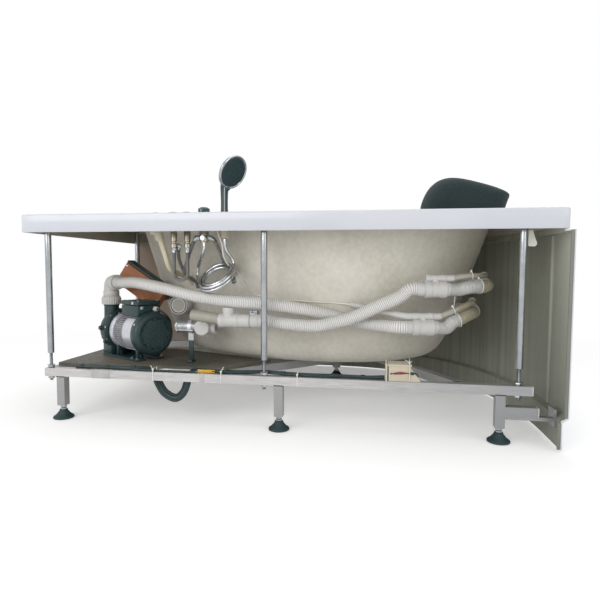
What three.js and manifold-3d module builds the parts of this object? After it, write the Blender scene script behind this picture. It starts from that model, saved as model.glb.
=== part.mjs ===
import * as THREE from 'three';
import { mergeVertices } from 'three/addons/utils/BufferGeometryUtils.js';
import Module from 'manifold-3d';

// Corner bathtub with a jet pump, open on its two wall sides.
// Millimetres, +Z up. While it is built, X runs along the long wall side,
// Y runs away from that wall, and the floor is at zero.

const wasm = await Module();
wasm.setup();

const fullTurn = Math.PI * 2;
const halfTurn = Math.PI;
const quarterTurn = Math.PI / 2;

// Clearances shared by all pieces
const gap = 0.3;
const runGap = 0.5;
const overrun = 3;

// Acrylic shell
const rim = { length: 1500, side: 705, depth: 1000, height: 615, lip: 52, wall: 6, corner: 12, round: 5 };
const front = { straight: 140 };
const frontShare = { crown: 0.55, rightPull: 0.64, rightLean: 0.3, leftPull: 0.55, leftLean: 0.28, leftRise: 0.82 };
const basin = { x: 765, y: 516, long: 642, short: 386, base: 164, power: 2.25 };
const basinTilt = THREE.MathUtils.degToRad(-13);
// Share of the long half, share of the short half, share of the depth
const basinProfileShares = [
  [0.61, 0.65, 0], [0.705, 0.745, 0.03], [0.75, 0.79, 0.075], [0.785, 0.82, 0.15],
  [0.822, 0.855, 0.26], [0.862, 0.885, 0.42], [0.928, 0.94, 0.7], [1, 1, 1],
];
const shellStations = 30;

// Curved front apron
const skirt = { proud: 14, wall: 4, top: 561, bottom: 5, stepHigh: 84, stepLow: 76, stepIn: 15, start: 4, end: 1 };
const skirtStations = 32;

// Welded square tube frame
const tube = { size: 25, wall: 2 };
const frame = { top: 155, inset: 44, left: 34, rightInset: 63 };
const frameRight = rim.length - frame.rightInset;
const legs = { bottom: 40.5, first: 72, second: 747, lastInset: 154 };
const sideRail = { left: 38, end: 662 };
const angledRail = { inset: 230, length: 845 };
const angledRailLean = THREE.MathUtils.degToRad(29.2);
const brace = { x: 512, length: 655 };
const braceLean = THREE.MathUtils.degToRad(45);
const farRail = { setBack: 12 };
const board = { thick: 8, near: 96, left: 44, right: 585, tipX: 690, tipY: 262, farY: 412, farX: 300 };

// Levelling feet and the rods that hold the rim up
const foot = { radius: 30, height: 34, rim: 5, neck: 10, stud: 5, studTop: 100, nut: 9, nutHeight: 7, waistShare: 0.7 };
const footSides = 10;
const post = { radius: 11, stud: 5, tubeFoot: 200, nut: 9.5, nutHeight: 8, left: 47, middle: 716, rightInset: 95 };
const postSides = 8;
const farPost = { y: 610 };

// Bracket that holds the apron to the last leg
const bracket = { top: 98.5, reach: 82, strapWidth: 18, strapThick: 9, plateWidth: 46, plateHeight: 46, plateThick: 6, plateBelow: 10 };

// Jet pump, its axis level and turned back to the left
const pump = { x: 335, y: 168, z: 250 };
const pumpTurn = THREE.MathUtils.degToRad(148);
const fanCover = { radius: 70, length: 34, wall: 2.5, hole: 4.2, firstRing: 20, ringStep: 22 };
const motor = { start: 36, length: 149, radius: 60, fin: 5, shaft: 7 };
const motorFins = 14;
const volute = { start: 190, length: 64, radius: 72, cavity: 60, wall: 10, neck: 24, neckBore: 17, neckOut: 28, neckTop: 350 };
const voluteInlet = { radius: 30, bore: 22, length: 24 };
const pumpBase = { from: 30, half: 52, plate: 6, web: 12, webHalf: 40 };
const impeller = { radius: 54, disc: 5, depth: 26, hub: 13, blade: 4 };
const coolingFan = { radius: 56, disc: 4, depth: 20, hub: 13, blade: 3, start: 8 };
const bladeCount = 6;
const junctionBox = { length: 99, width: 84, height: 45, start: 34, gland: 9, glandLength: 14 };

// White pipework
const union = { radius: 32, height: 27, below: 13 };
const elbow = { pipe: 24, branch: 23, bore: 17, rise: 62, reach: 44 };
const elbowTurn = THREE.MathUtils.degToRad(-33);
const hose = { radius: 18.5, bore: 12.5, rib: 2.2, pitch: 33 };
const airHose = { radius: 8.5 };
const hoseSides = 8;
const jet = { run: 22, runBore: 16.5, half: 30, branch: 24, shank: 16, ball: 13, spout: 5, trim: 24, trimThick: 3.5 };
const jetAir = { rise: 31, radius: 10, half: 27 };
const upperJet = { x: 1191, y: 104, z: 405 };
const lowerJet = { x: 1160, y: 106, z: 298 };
const upperEndJet = { x: 1362, y: 318, z: 412 };
const lowerEndJet = { x: 1328, y: 312, z: 331 };
const nearJetAim = THREE.MathUtils.degToRad(98);
const endJetAim = THREE.MathUtils.degToRad(172);
const pipeTee = { x: 596, y: 112, z: 305, leftRise: 15, pipe: 17, body: 21, left: 118, right: 92, half: 30, bore: 13, stub: 19, stubRise: 40 };
const heater = {
  x: 449, y: 178, z: 276, tube: 20, length: 92, cap: 25, capDepth: 30, ring: 22, ringLength: 40, bore: 15,
  standX: -6, standWidth: 16, standThick: 5, standFoot: 34,
};
const waste = { x: 384, y: 236, z: 338, radius: 28, bore: 20, collar: 31, collarDepth: 16, length: 150 };

// Hose routes by hand, from end to end
const hoseARoute = [
  [256, 180, 414], [314, 148, 409], [392, 124, 397], [508, 106, 374], [602, 100, 364], [706, 104, 358],
  [809, 118, 343], [892, 138, 324], [956, 140, 310], [1030, 124, 300],
];
const hoseBRoute = [[738, 106, 303], [811, 97, 297], [868, 94, 297], [910, 93, 307], [960, 93, 321], [1040, 94, 358], [1095, 98, 383]];
const upperTailRoute = [[1275, 106, 410], [1308, 122, 414], [1334, 160, 414], [1352, 214, 413]];
const lowerTailRoute = [[1238, 110, 312], [1268, 128, 324], [1294, 162, 332], [1312, 208, 332]];
const lowerAirRoute = [[955, 136, 357], [1010, 128, 347], [1065, 116, 336]];
const lowerEndAirRoute = [[1238, 110, 343], [1268, 128, 355], [1294, 162, 363], [1312, 208, 363]];
const upperAirRoute = [[1265, 110, 441], [1302, 128, 443], [1328, 168, 443], [1344, 224, 443]];

// Bath fittings on the deck and their supply
const fittingsY = 90;
const valve = { body: 9.5, drop: 96, nut: 17, nutHeight: 12, stem: 5, flange: 20, flangeHeight: 3 };
const hotValveX = 434;
const coldValveX = 476;
const diverter = { x: 528, body: 13.5, drop: 79, knob: 17, knobHeight: 20, armDrop: 64, arm: 6, armReach: 22 };
const lowKnob = { radius: 17, height: 7 };
const airButton = { x: 384, radius: 14, cap: 17, capHeight: 5, depth: 24, travel: 4 };
const shower = { x: 587, y: 100, handle: 12, dip: 30, rise: 85, head: 50, headThick: 22, headOut: 30, headRise: 39, nut: 13 };
const showerTilt = THREE.MathUtils.degToRad(118);
const showerTurn = THREE.MathUtils.degToRad(-28);
const sleeve = { radius: 14, drop: 66, flange: 20, flangeHeight: 4 };
const linkHose = { radius: 5.5, drop: 190 };
const showerHose = { radius: 5, loopRadius: 60, step: 10.6, x: 556, y: 114, drop: 174 };
const layerTurns = 1.75;
const loopSteps = 24;
const loopSides = 6;
const loopTilt = THREE.MathUtils.degToRad(36);
const loopRoll = THREE.MathUtils.degToRad(22);
// Routes of the shower hose, with the drop below the deck as the third number
const dropRoute = [[587, 100, 79], [587.5, 100, 95], [589, 102, 115], [592, 106, 132]];
const riseRoute = [[487, 140, 187], [485, 150, 167], [492, 142, 141], [512, 112, 115], [528, 92, 93]];

// Boxes, wiring, headrest and drain
const controlBox = { width: 171, height: 75, depth: 45, lid: 5, x: 222, y: 346, lift: 82, pad: 44, padFrom: 30, padReach: 90 };
const controlTilt = THREE.MathUtils.degToRad(-33.8);
const lightBox = { x: 1060, width: 66, depth: 54, height: 46, lid: 3, ear: 12 };
const loom = { radius: 4 };
const loomRoute = [
  [128, 62, 160.2], [200, 62, 160.2], [290, 62, 160.2], [330, 67, 161], [352, 78, 158], [370, 82, 142], [384, 82, 112],
  [404, 82, 84], [440, 82, 70], [464, 82, 88], [476, 82, 118], [484, 81, 146], [498, 76, 161], [522, 68, 161.5],
  [560, 62, 160.2], [620, 62, 160.2], [680, 70, 160.6], [716, 76, 161], [752, 70, 160.6], [840, 62, 160.2],
  [930, 62, 160.2], [1020, 62, 160.2], [1056, 62, 162],
];
const headrest = { x: 1298, y: 352, width: 262, sink: 17, height: 147, length: 300 };
// Side view of the headrest, as shares of its width and height
const headrestSideShares = [
  [0.49, 0.13], [0.505, 0.38], [0.5, 0.63], [0.36, 0.77], [0.12, 0.91], [-0.1, 0.985], [-0.24, 0.99], [-0.36, 0.91],
  [-0.45, 0.72], [-0.5, 0.45], [-0.49, 0.2], [-0.4, 0.04], [-0.15, 0], [0.15, 0], [0.33, 0.03], [0.42, 0.13],
];
const headrestSections = 14;
const drain = { x: 640, y: 560, hole: 22, cap: 30, capHeight: 5, stem: 18 };

const bath = new THREE.Group();
const finish = (color, roughness, metalness) => new THREE.MeshStandardMaterial({ color, roughness, metalness });
const acrylic = finish(0xdcdde2, 0.25, 0);
const fibreglass = finish(0xbcb6a4, 0.7, 0);
const steel = finish(0xa9adb0, 0.35, 1);
const galvanised = finish(0xb4b8ba, 0.4, 0.9);
const blackPlastic = finish(0x223a3c, 0.5, 0);
const blackRubber = finish(0x1f3234, 0.8, 0);
const aluminium = finish(0xa8a8a8, 0.5, 0.9);
const whitePipe = finish(0xdedcd8, 0.45, 0);
const chrome = finish(0xc8c8c8, 0.1, 1);
const brass = finish(0xb59f78, 0.35, 0.9);
const cream = finish(0xd9cfb4, 0.5, 0);
const brown = finish(0xa5693c, 0.6, 0);
const leatherette = finish(0x22393b, 0.6, 0);

function add(name, geometry, material) {
  const mesh = new THREE.Mesh(geometry, material);
  mesh.name = name;
  bath.add(mesh);
  return mesh;
}

// Solids from closed geometries

function solidOf(geometry) {
  const plain = geometry.clone();
  plain.deleteAttribute('normal');
  plain.deleteAttribute('uv');
  const merged = mergeVertices(plain, 1e-4);
  const position = merged.attributes.position;
  const index = merged.index.array;
  const triangles = [];
  let volume = 0;
  const a = new THREE.Vector3();
  const b = new THREE.Vector3();
  const c = new THREE.Vector3();
  for (let i = 0; i < index.length; i += 3) {
    const [p, q, r] = [index[i], index[i + 1], index[i + 2]];
    if (p === q || q === r || r === p) continue;
    a.fromBufferAttribute(position, p);
    b.fromBufferAttribute(position, q);
    c.fromBufferAttribute(position, r);
    volume += a.dot(b.cross(c));
    triangles.push(p, q, r);
  }
  if (volume < 0) triangles.reverse();
  return new wasm.Manifold(new wasm.Mesh({
    numProp: 3,
    vertProperties: new Float32Array(position.array),
    triVerts: new Uint32Array(triangles),
  }));
}

function geometryOf(solid) {
  const mesh = solid.getMesh();
  const geometry = new THREE.BufferGeometry();
  geometry.setAttribute('position', new THREE.BufferAttribute(new Float32Array(mesh.vertProperties), 3));
  geometry.setIndex(Array.from(mesh.triVerts));
  return geometry;
}

function joined(...solids) {
  return solids.reduce((whole, next) => whole.add(next));
}

function without(solid, ...cuts) {
  return cuts.reduce((rest, cut) => rest.subtract(cut), solid);
}

// Corner radius of a many-sided space that clears a round bar
function roundSpace(radius, sides = 18) {
  return radius / Math.cos(halfTurn / sides);
}

function moved(geometry, x, y, z) {
  return geometry.translate(x, y, z);
}

// Cuboid given by its low corner and its size
function block(x, y, z, width, depth, height) {
  return moved(new THREE.BoxGeometry(width, depth, height), x + width / 2, y + depth / 2, z + height / 2);
}

// Upright round bar from one height to another
function bar(x, y, from, to, radius, sides = 12) {
  const geometry = new THREE.CylinderGeometry(radius, radius, to - from, sides);
  geometry.rotateX(quarterTurn);
  return moved(geometry, x, y, (from + to) / 2);
}

// Round bar between two points
function rod(start, end, radius, sides = 12) {
  const along = new THREE.Vector3().subVectors(end, start);
  const geometry = new THREE.CylinderGeometry(radius, radius, along.length(), sides);
  const turn = new THREE.Quaternion().setFromUnitVectors(new THREE.Vector3(0, 1, 0), along.clone().normalize());
  geometry.applyQuaternion(turn);
  return moved(geometry, (start.x + end.x) / 2, (start.y + end.y) / 2, (start.z + end.z) / 2);
}

// Shape turned about the upright axis, from pairs of radius and height
function turned(pairs, sides = 14) {
  const points = pairs.map(([radius, height]) => new THREE.Vector2(radius, height));
  return new THREE.LatheGeometry(points, sides).rotateX(quarterTurn);
}

// Skin over closed rings of equal count, with a closing point at each end
function skin(rings, firstPole, lastPole) {
  const count = rings[0].length;
  const positions = [];
  const index = [];
  for (const ring of rings) {
    for (const point of ring) positions.push(point.x, point.y, point.z);
  }
  const first = positions.length / 3;
  positions.push(firstPole.x, firstPole.y, firstPole.z, lastPole.x, lastPole.y, lastPole.z);
  for (let i = 0; i < count; i += 1) {
    const next = (i + 1) % count;
    index.push(first, i, next);
    for (let k = 0; k < rings.length - 1; k += 1) {
      const low = k * count;
      const high = low + count;
      index.push(low + i, high + i, high + next, low + i, high + next, low + next);
    }
    const top = (rings.length - 1) * count;
    index.push(first + 1, top + next, top + i);
  }
  const geometry = new THREE.BufferGeometry();
  geometry.setAttribute('position', new THREE.BufferAttribute(new Float32Array(positions), 3));
  geometry.setIndex(index);
  return geometry;
}

// Rings round a path, closed on themselves as a bored tube or capped as a solid one
function ringAt(point, tangent, reference, radius, sides) {
  const side = new THREE.Vector3().crossVectors(tangent, reference).normalize();
  const up = new THREE.Vector3().crossVectors(side, tangent);
  const ring = [];
  for (let i = 0; i < sides; i += 1) {
    const angle = (i * fullTurn) / sides;
    ring.push(point.clone().addScaledVector(side, radius * Math.cos(angle)).addScaledVector(up, radius * Math.sin(angle)));
  }
  return ring;
}

function boredTube(outerRings, innerRings) {
  const count = outerRings[0].length;
  const rings = [...outerRings, ...innerRings.slice().reverse()];
  const positions = [];
  const index = [];
  for (const ring of rings) {
    for (const point of ring) positions.push(point.x, point.y, point.z);
  }
  for (let k = 0; k < rings.length; k += 1) {
    const low = k * count;
    const high = ((k + 1) % rings.length) * count;
    for (let i = 0; i < count; i += 1) {
      const next = (i + 1) % count;
      index.push(low + i, high + i, high + next, low + i, high + next, low + next);
    }
  }
  const geometry = new THREE.BufferGeometry();
  geometry.setAttribute('position', new THREE.BufferAttribute(new Float32Array(positions), 3));
  geometry.setIndex(index);
  return geometry;
}

// Ribbed hose with a bore: plain for one diameter at each end
function ribbedHose(points, size) {
  const curve = new THREE.CatmullRomCurve3(points, false, 'centripetal');
  const length = curve.getLength();
  const plain = 2 * size.radius;
  const ribs = Math.max(1, Math.round((length - 2 * plain) / size.pitch));
  const pitch = (length - 2 * plain) / ribs;
  const up = new THREE.Vector3(0, 0, 1);
  const ring = (s, radius) => {
    const u = Math.min(1, Math.max(0, s / length));
    return ringAt(curve.getPointAt(u), curve.getTangentAt(u), up, radius, hoseSides);
  };
  const outer = [ring(0, size.radius), ring(plain, size.radius)];
  const inner = [ring(0, size.bore)];
  for (let k = 0; k < ribs; k += 1) {
    const s = plain + k * pitch;
    outer.push(ring(s + pitch / 2, size.radius));
    outer.push(ring(s + pitch, k === ribs - 1 ? size.radius : size.radius - size.rib));
    inner.push(ring(s, size.bore));
  }
  outer.push(ring(length, size.radius));
  inner.push(ring(length - plain, size.bore), ring(length, size.bore));
  return boredTube(outer, inner);
}

// Plain round cord along hand-set points
function cordAlong(points, radius, steps, sides = 8) {
  const section = new THREE.Shape();
  for (let i = 0; i < sides; i += 1) {
    const angle = (i * fullTurn) / sides;
    const [x, y] = [radius * Math.cos(angle), radius * Math.sin(angle)];
    if (i === 0) section.moveTo(x, y);
    else section.lineTo(x, y);
  }
  section.closePath();
  const extrudePath = new THREE.CatmullRomCurve3(points, false, 'centripetal');
  return new THREE.ExtrudeGeometry(section, { steps, extrudePath, bevelEnabled: false });
}

const vectors = (route) => route.map(([x, y, z]) => new THREE.Vector3(x, y, z));

// Plan outline of the deck

function frontCurve(out) {
  const right = rim.length + out;
  const crown = rim.depth + out;
  const crownX = rim.length * frontShare.crown;
  const rise = crown - front.straight;
  const path = new THREE.Path();
  path.moveTo(right, front.straight);
  path.bezierCurveTo(
    right - (rim.corner * frontShare.rightLean), front.straight + rise * frontShare.rightPull,
    crownX + (right - crownX) * frontShare.rightPull, crown,
    crownX, crown,
  );
  path.bezierCurveTo(
    crownX - crownX * frontShare.leftPull, crown,
    crownX * frontShare.leftLean, rim.side + out + (crown - rim.side) * frontShare.leftRise,
    0, rim.side + out,
  );
  return path;
}

function deckOutline(inset) {
  const left = inset;
  const near = inset;
  const right = rim.length - inset;
  const corner = rim.corner;
  const path = new THREE.Path();
  path.moveTo(left, near + corner);
  path.quadraticCurveTo(left, near, left + corner, near);
  path.lineTo(right - corner, near);
  path.quadraticCurveTo(right, near, right, near + corner);
  const curved = frontCurve(-inset).getPoints(skirtStations);
  const points = path.getPoints(3);
  for (const point of curved) {
    if (point.x >= left) points.push(point);
  }
  points.push(new THREE.Vector2(left, rim.side - inset));
  return points;
}

// Where a ray from the basin's centre meets a closed outline
function edgeAt(outline, angle) {
  const direction = new THREE.Vector2(Math.cos(angle), Math.sin(angle));
  let best = 0;
  for (let i = 0; i < outline.length; i += 1) {
    const p = outline[i];
    const q = outline[(i + 1) % outline.length];
    const ex = q.x - p.x;
    const ey = q.y - p.y;
    const cross = direction.x * ey - direction.y * ex;
    if (Math.abs(cross) < 1e-9) continue;
    const dx = p.x - basin.x;
    const dy = p.y - basin.y;
    const along = (dx * ey - dy * ex) / cross;
    const share = (dx * direction.y - dy * direction.x) / cross;
    if (along > best && share >= -1e-9 && share <= 1 + 1e-9) best = along;
  }
  return best;
}

// Radius of the basin in plan for one row of the profile
function basinRadius(angle, longShare, shortShare) {
  const turned = angle - basinTilt;
  const along = Math.abs(Math.cos(turned) / (basin.long * longShare)) ** basin.power;
  const across = Math.abs(Math.sin(turned) / (basin.short * shortShare)) ** basin.power;
  return (along + across) ** (-1 / basin.power);
}

function shellAngles() {
  const corners = deckOutline(0).filter((point) => point.y <= rim.corner || point.x === 0);
  const angles = corners.map((point) => Math.atan2(point.y - basin.y, point.x - basin.x));
  for (let i = 0; i < shellStations; i += 1) angles.push((i * fullTurn) / shellStations - halfTurn);
  angles.sort((a, b) => a - b);
  const apart = fullTurn / shellStations / 12;
  return angles.filter((angle, i) => i === 0 || angle - angles[i - 1] > apart);
}

const angles = shellAngles();

function ringOf(radiusAt, z) {
  return angles.map((angle) => {
    const radius = radiusAt(angle);
    return new THREE.Vector3(basin.x + radius * Math.cos(angle), basin.y + radius * Math.sin(angle), z);
  });
}

const deckUnder = rim.height - rim.wall;

function basinRings(grow, base, top) {
  return basinProfileShares.map(([long, short, depth]) => (
    ringOf((angle) => basinRadius(angle, long, short) + grow, base + (top - base) * depth)
  ));
}

function centreAt(z) {
  return new THREE.Vector3(basin.x, basin.y, z);
}

// Space that the basin takes up seen from outside, grown by a clearance
function basinOutside(grow) {
  const rings = basinRings(grow, basin.base - grow, deckUnder);
  return solidOf(skin(rings, centreAt(basin.base - grow), centreAt(deckUnder)));
}

// Space inside the basin, drawn in by a clearance
function basinInside(shrink) {
  const rings = basinRings(-rim.wall - shrink, basin.base + rim.wall + shrink, rim.height).reverse();
  return solidOf(skin(rings, centreAt(rim.height), centreAt(basin.base + rim.wall + shrink)));
}

// Distance from a point to the basin's outside, going level in one direction
function reachToBasin(point, direction) {
  const depth = (point.z - basin.base) / (deckUnder - basin.base);
  const rows = basinProfileShares;
  let k = 1;
  while (k < rows.length - 1 && rows[k][2] < depth) k += 1;
  const blend = (depth - rows[k - 1][2]) / (rows[k][2] - rows[k - 1][2]);
  const long = THREE.MathUtils.lerp(rows[k - 1][0], rows[k][0], blend);
  const short = THREE.MathUtils.lerp(rows[k - 1][1], rows[k][1], blend);
  let low = 0;
  let high = Math.hypot(point.x - basin.x, point.y - basin.y);
  for (let i = 0; i < 40; i += 1) {
    const middle = (low + high) / 2;
    const x = point.x + direction.x * middle - basin.x;
    const y = point.y + direction.y * middle - basin.y;
    if (Math.hypot(x, y) > basinRadius(Math.atan2(y, x), long, short)) low = middle;
    else high = middle;
  }
  return low;
}

// Jets: a water run, an air run and a shank through the basin's wall

function jetFrame(place, aim) {
  const centre = new THREE.Vector3(place.x, place.y, place.z);
  const inward = new THREE.Vector3(Math.cos(aim), Math.sin(aim), 0);
  const along = new THREE.Vector3(inward.y, -inward.x, 0);
  const reach = reachToBasin(centre, inward);
  const at = (side, forward, up) => centre.clone()
    .addScaledVector(along, side).addScaledVector(inward, forward).add(new THREE.Vector3(0, 0, up));
  return { at, reach };
}

function jetHole(place, aim) {
  const { at, reach } = jetFrame(place, aim);
  return solidOf(rod(at(0, reach - jet.branch, 0), at(0, reach + jet.branch * 2, 0), jet.shank + gap));
}

function jetBody(place, aim, trimmed) {
  const { at, reach } = jetFrame(place, aim);
  const outside = joined(
    solidOf(rod(at(-jet.half, 0, 0), at(jet.half, 0, 0), jet.run, 10)),
    solidOf(rod(at(0, 0, 0), at(0, reach + jet.branch, 0), jet.branch)),
    solidOf(rod(at(-jetAir.half, 0, jetAir.rise), at(jetAir.half, 0, jetAir.rise), jetAir.radius, 8)),
    solidOf(rod(at(0, 0, 0), at(0, 0, jetAir.rise), jetAir.radius, 8)),
  ).subtract(outsideSpace);
  const shank = solidOf(rod(at(0, reach - jet.branch / 2, 0), at(0, reach + rim.wall + jet.trimThick, 0), jet.shank));
  const trim = solidOf(rod(at(0, reach, 0), at(0, reach + jet.branch * 2, 0), jet.trim))
    .intersect(basinInside(gap)).subtract(basinInside(gap + jet.trimThick));
  return without(
    trimmed ? joined(outside, shank, trim) : joined(outside, shank),
    solidOf(rod(at(0, 0, 0), at(0, reach + jet.branch * 2, 0), roundSpace(jet.ball, 12))),
    solidOf(rod(at(-jet.half - overrun, 0, 0), at(jet.half + overrun, 0, 0), jet.runBore, 8)),
  );
}

function jetNozzle(place, aim) {
  const { at, reach } = jetFrame(place, aim);
  const centre = at(0, reach + rim.wall, 0);
  const ball = solidOf(moved(new THREE.SphereGeometry(jet.ball, 10, 6), centre.x, centre.y, centre.z));
  const bore = solidOf(rod(at(0, reach - jet.ball * 2, 0), at(0, reach + jet.ball * 3, 0), jet.spout, 8));
  return ball.subtract(bore);
}

const outsideSpace = basinOutside(gap);

const deckHoles = [
  [hotValveX, fittingsY, valve.body], [coldValveX, fittingsY, valve.body], [diverter.x, fittingsY, valve.body],
  [airButton.x, fittingsY, airButton.radius], [shower.x, shower.y, sleeve.radius],
];

const jetPlaces = [
  ['upper_jet_body', upperJet, nearJetAim, true], ['lower_jet_body', lowerJet, nearJetAim, true],
  ['upper_end_jet', upperEndJet, endJetAim, false], ['lower_end_jet', lowerEndJet, endJetAim, false],
];

function makeShell() {
  const outer = deckOutline(0);
  const inner = deckOutline(rim.wall);
  const topEdge = deckOutline(rim.round);
  const midEdge = deckOutline(rim.round * (1 - Math.SQRT1_2));
  const outlineRing = (outline, z) => ringOf((angle) => edgeAt(outline, angle), z);
  const basinEdge = (out, z) => ringOf((angle) => basinRadius(angle, 1, 1) - rim.wall + out, z);
  const insideRings = basinRings(-rim.wall, basin.base + rim.wall, rim.height).slice(0, -1).reverse();
  const rings = [
    ...basinRings(0, basin.base, deckUnder),
    outlineRing(inner, deckUnder),
    outlineRing(inner, rim.height - rim.lip),
    outlineRing(outer, rim.height - rim.lip),
    outlineRing(outer, rim.height - rim.round),
    outlineRing(midEdge, rim.height - rim.round * (1 - Math.SQRT1_2)),
    outlineRing(topEdge, rim.height),
    basinEdge(rim.round, rim.height),
    basinEdge(rim.round * (1 - Math.SQRT1_2), rim.height - rim.round * (1 - Math.SQRT1_2)),
    basinEdge(0, rim.height - rim.round),
    ...insideRings,
  ];
  const shell = solidOf(skin(rings, centreAt(basin.base), centreAt(basin.base + rim.wall)));
  const holes = deckHoles.map(([x, y, radius]) => (
    solidOf(bar(x, y, deckUnder - overrun, rim.height + overrun, radius + gap))
  ));
  const drainHole = solidOf(bar(drain.x, drain.y, basin.base - overrun, basin.base + rim.wall + overrun, drain.hole));
  return without(shell, ...holes, drainHole, ...jetPlaces.map(([, place, aim]) => jetHole(place, aim)));
}

add('tub_shell', geometryOf(makeShell()), acrylic);

// Curved front apron: one section carried round the front of the deck

function makeSkirt() {
  const low = skirt.proud - skirt.stepIn;
  const section = [
    [skirt.proud, skirt.top], [skirt.proud, skirt.stepHigh], [low, skirt.stepLow], [low, skirt.bottom],
    [low - skirt.wall, skirt.bottom], [low - skirt.wall, skirt.stepLow + skirt.wall],
    [skirt.proud - skirt.wall, skirt.stepHigh + skirt.wall], [skirt.proud - skirt.wall, skirt.top],
  ];
  const stations = section.map(([out, z]) => {
    const curve = frontCurve(out).getSpacedPoints(skirtStations);
    const line = curve.filter((point) => point.x >= skirt.end);
    const [inside, outside] = [line[line.length - 1], curve[line.length]];
    line.push(inside.clone().lerp(outside, (inside.x - skirt.end) / (inside.x - outside.x)));
    line.unshift(new THREE.Vector2(rim.length + out, skirt.start));
    return line.map((point) => new THREE.Vector3(point.x, point.y, z));
  });
  const count = Math.min(...stations.map((line) => line.length));
  const positions = [];
  const index = [];
  for (let k = 0; k < count; k += 1) {
    for (const line of stations) positions.push(line[k].x, line[k].y, line[k].z);
  }
  const sides = section.length;
  for (let k = 0; k < count - 1; k += 1) {
    for (let i = 0; i < sides; i += 1) {
      const next = (i + 1) % sides;
      const [low0, high0] = [k * sides, (k + 1) * sides];
      index.push(low0 + i, high0 + i, high0 + next, low0 + i, high0 + next, low0 + next);
    }
  }
  const flat = section.map(([out, z]) => new THREE.Vector2(out, z));
  const last = (count - 1) * sides;
  const wanted = Math.sign(THREE.ShapeUtils.area(flat));
  for (const [p, q, r] of THREE.ShapeUtils.triangulateShape(flat, [])) {
    const same = Math.sign(THREE.ShapeUtils.area([flat[p], flat[q], flat[r]])) === wanted;
    const [first, third] = same ? [p, r] : [r, p];
    index.push(first, q, third, last + third, last + q, last + first);
  }
  const geometry = new THREE.BufferGeometry();
  geometry.setAttribute('position', new THREE.BufferAttribute(new Float32Array(positions), 3));
  geometry.setIndex(index);
  return solidOf(geometry);
}

add('front_skirt', geometryOf(makeSkirt()), acrylic);

// Frame of square tube: rails, legs, brace and board

const railY = frame.inset + tube.size / 2;
const railBottom = frame.top - tube.size;

// Open-ended square tube along X from zero, its axis at zero
function squareTube(length) {
  const whole = solidOf(block(0, -tube.size / 2, -tube.size / 2, length, tube.size, tube.size));
  const inner = tube.size - 2 * tube.wall;
  const hollow = solidOf(block(-overrun, -inner / 2, -inner / 2, length + 2 * overrun, inner, inner));
  return whole.subtract(hollow);
}

function placedTube(length, x, y, angle) {
  const solid = squareTube(length);
  const geometry = geometryOf(solid);
  geometry.rotateZ(angle);
  return solidOf(moved(geometry, x, y, frame.top - tube.size / 2));
}

// Leg below a rail, closed at its foot by a tapped plate
function legAt(x, y, angle = 0) {
  const half = tube.size / 2;
  const inner = tube.size - 2 * tube.wall;
  const leg = solidOf(block(-half, -half, legs.bottom, tube.size, tube.size, railBottom + tube.wall - legs.bottom));
  const height = railBottom - legs.bottom - 2 * tube.wall;
  const hollow = solidOf(block(-inner / 2, -inner / 2, legs.bottom + 2 * tube.wall, inner, inner, height));
  const stud = solidOf(bar(0, 0, legs.bottom - overrun, railBottom - tube.wall, foot.stud + gap));
  const geometry = geometryOf(without(leg, hollow, stud));
  geometry.rotateZ(angle);
  return solidOf(moved(geometry, x, y, 0));
}

function studHole(x, y) {
  return solidOf(bar(x, y, railBottom - overrun, frame.top + overrun, post.stud + gap));
}

const nearLegs = [legs.first, legs.second, rim.length - legs.lastInset].map((edge) => edge + tube.size / 2);
const postRight = rim.length - post.rightInset;
const nearPosts = [post.left, post.middle, postRight];
const sideX = sideRail.left + tube.size / 2;
const angledDirection = new THREE.Vector2(-Math.sin(angledRailLean), Math.cos(angledRailLean));
const angledStart = (tube.size + gap) / Math.cos(angledRailLean) + (tube.size / 2) * Math.tan(angledRailLean);
const angledRailX = rim.length - angledRail.inset;
function onAngledRail(along) {
  return [angledRailX + angledDirection.x * along, railY + angledDirection.y * along];
}
const farLegLeft = [sideX, sideRail.end - tube.size / 2];
const farLegRight = onAngledRail(angledRail.length - tube.size / 2);

const bracketStub = solidOf(block(
  nearLegs[2] + tube.size / 2 - tube.wall / 2, frame.inset, bracket.top - tube.size,
  bracket.reach, tube.size, tube.size,
)).subtract(solidOf(block(
  nearLegs[2] + tube.size / 2, frame.inset + tube.wall, bracket.top - tube.size + tube.wall,
  bracket.reach, tube.size - 2 * tube.wall, tube.size - 2 * tube.wall,
)));

const nearRail = without(
  joined(placedTube(frameRight - frame.left, frame.left, railY, 0), ...nearLegs.map((x) => legAt(x, railY)), bracketStub),
  ...nearPosts.map((x) => studHole(x, railY)),
);
add('near_rail', geometryOf(nearRail), steel);

const sideStart = frame.inset + tube.size + gap;
const leftRail = joined(
  placedTube(sideRail.end - sideStart, sideX, sideStart, quarterTurn), legAt(...farLegLeft),
).subtract(studHole(sideX, farPost.y));
add('left_rail', geometryOf(leftRail), steel);

const angledLength = angledRail.length - angledStart;
const rightRail = joined(
  placedTube(angledLength, ...onAngledRail(angledStart), quarterTurn + angledRailLean), legAt(...farLegRight, angledRailLean),
);
add('right_rail', geometryOf(rightRail), steel);

function between(start, end, startGap, endGap) {
  const dx = end[0] - start[0];
  const dy = end[1] - start[1];
  const length = Math.hypot(dx, dy);
  const angle = Math.atan2(dy, dx);
  const x = start[0] + (dx / length) * startGap;
  const y = start[1] + (dy / length) * startGap;
  return placedTube(length - startGap - endGap, x, y, angle);
}

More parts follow.
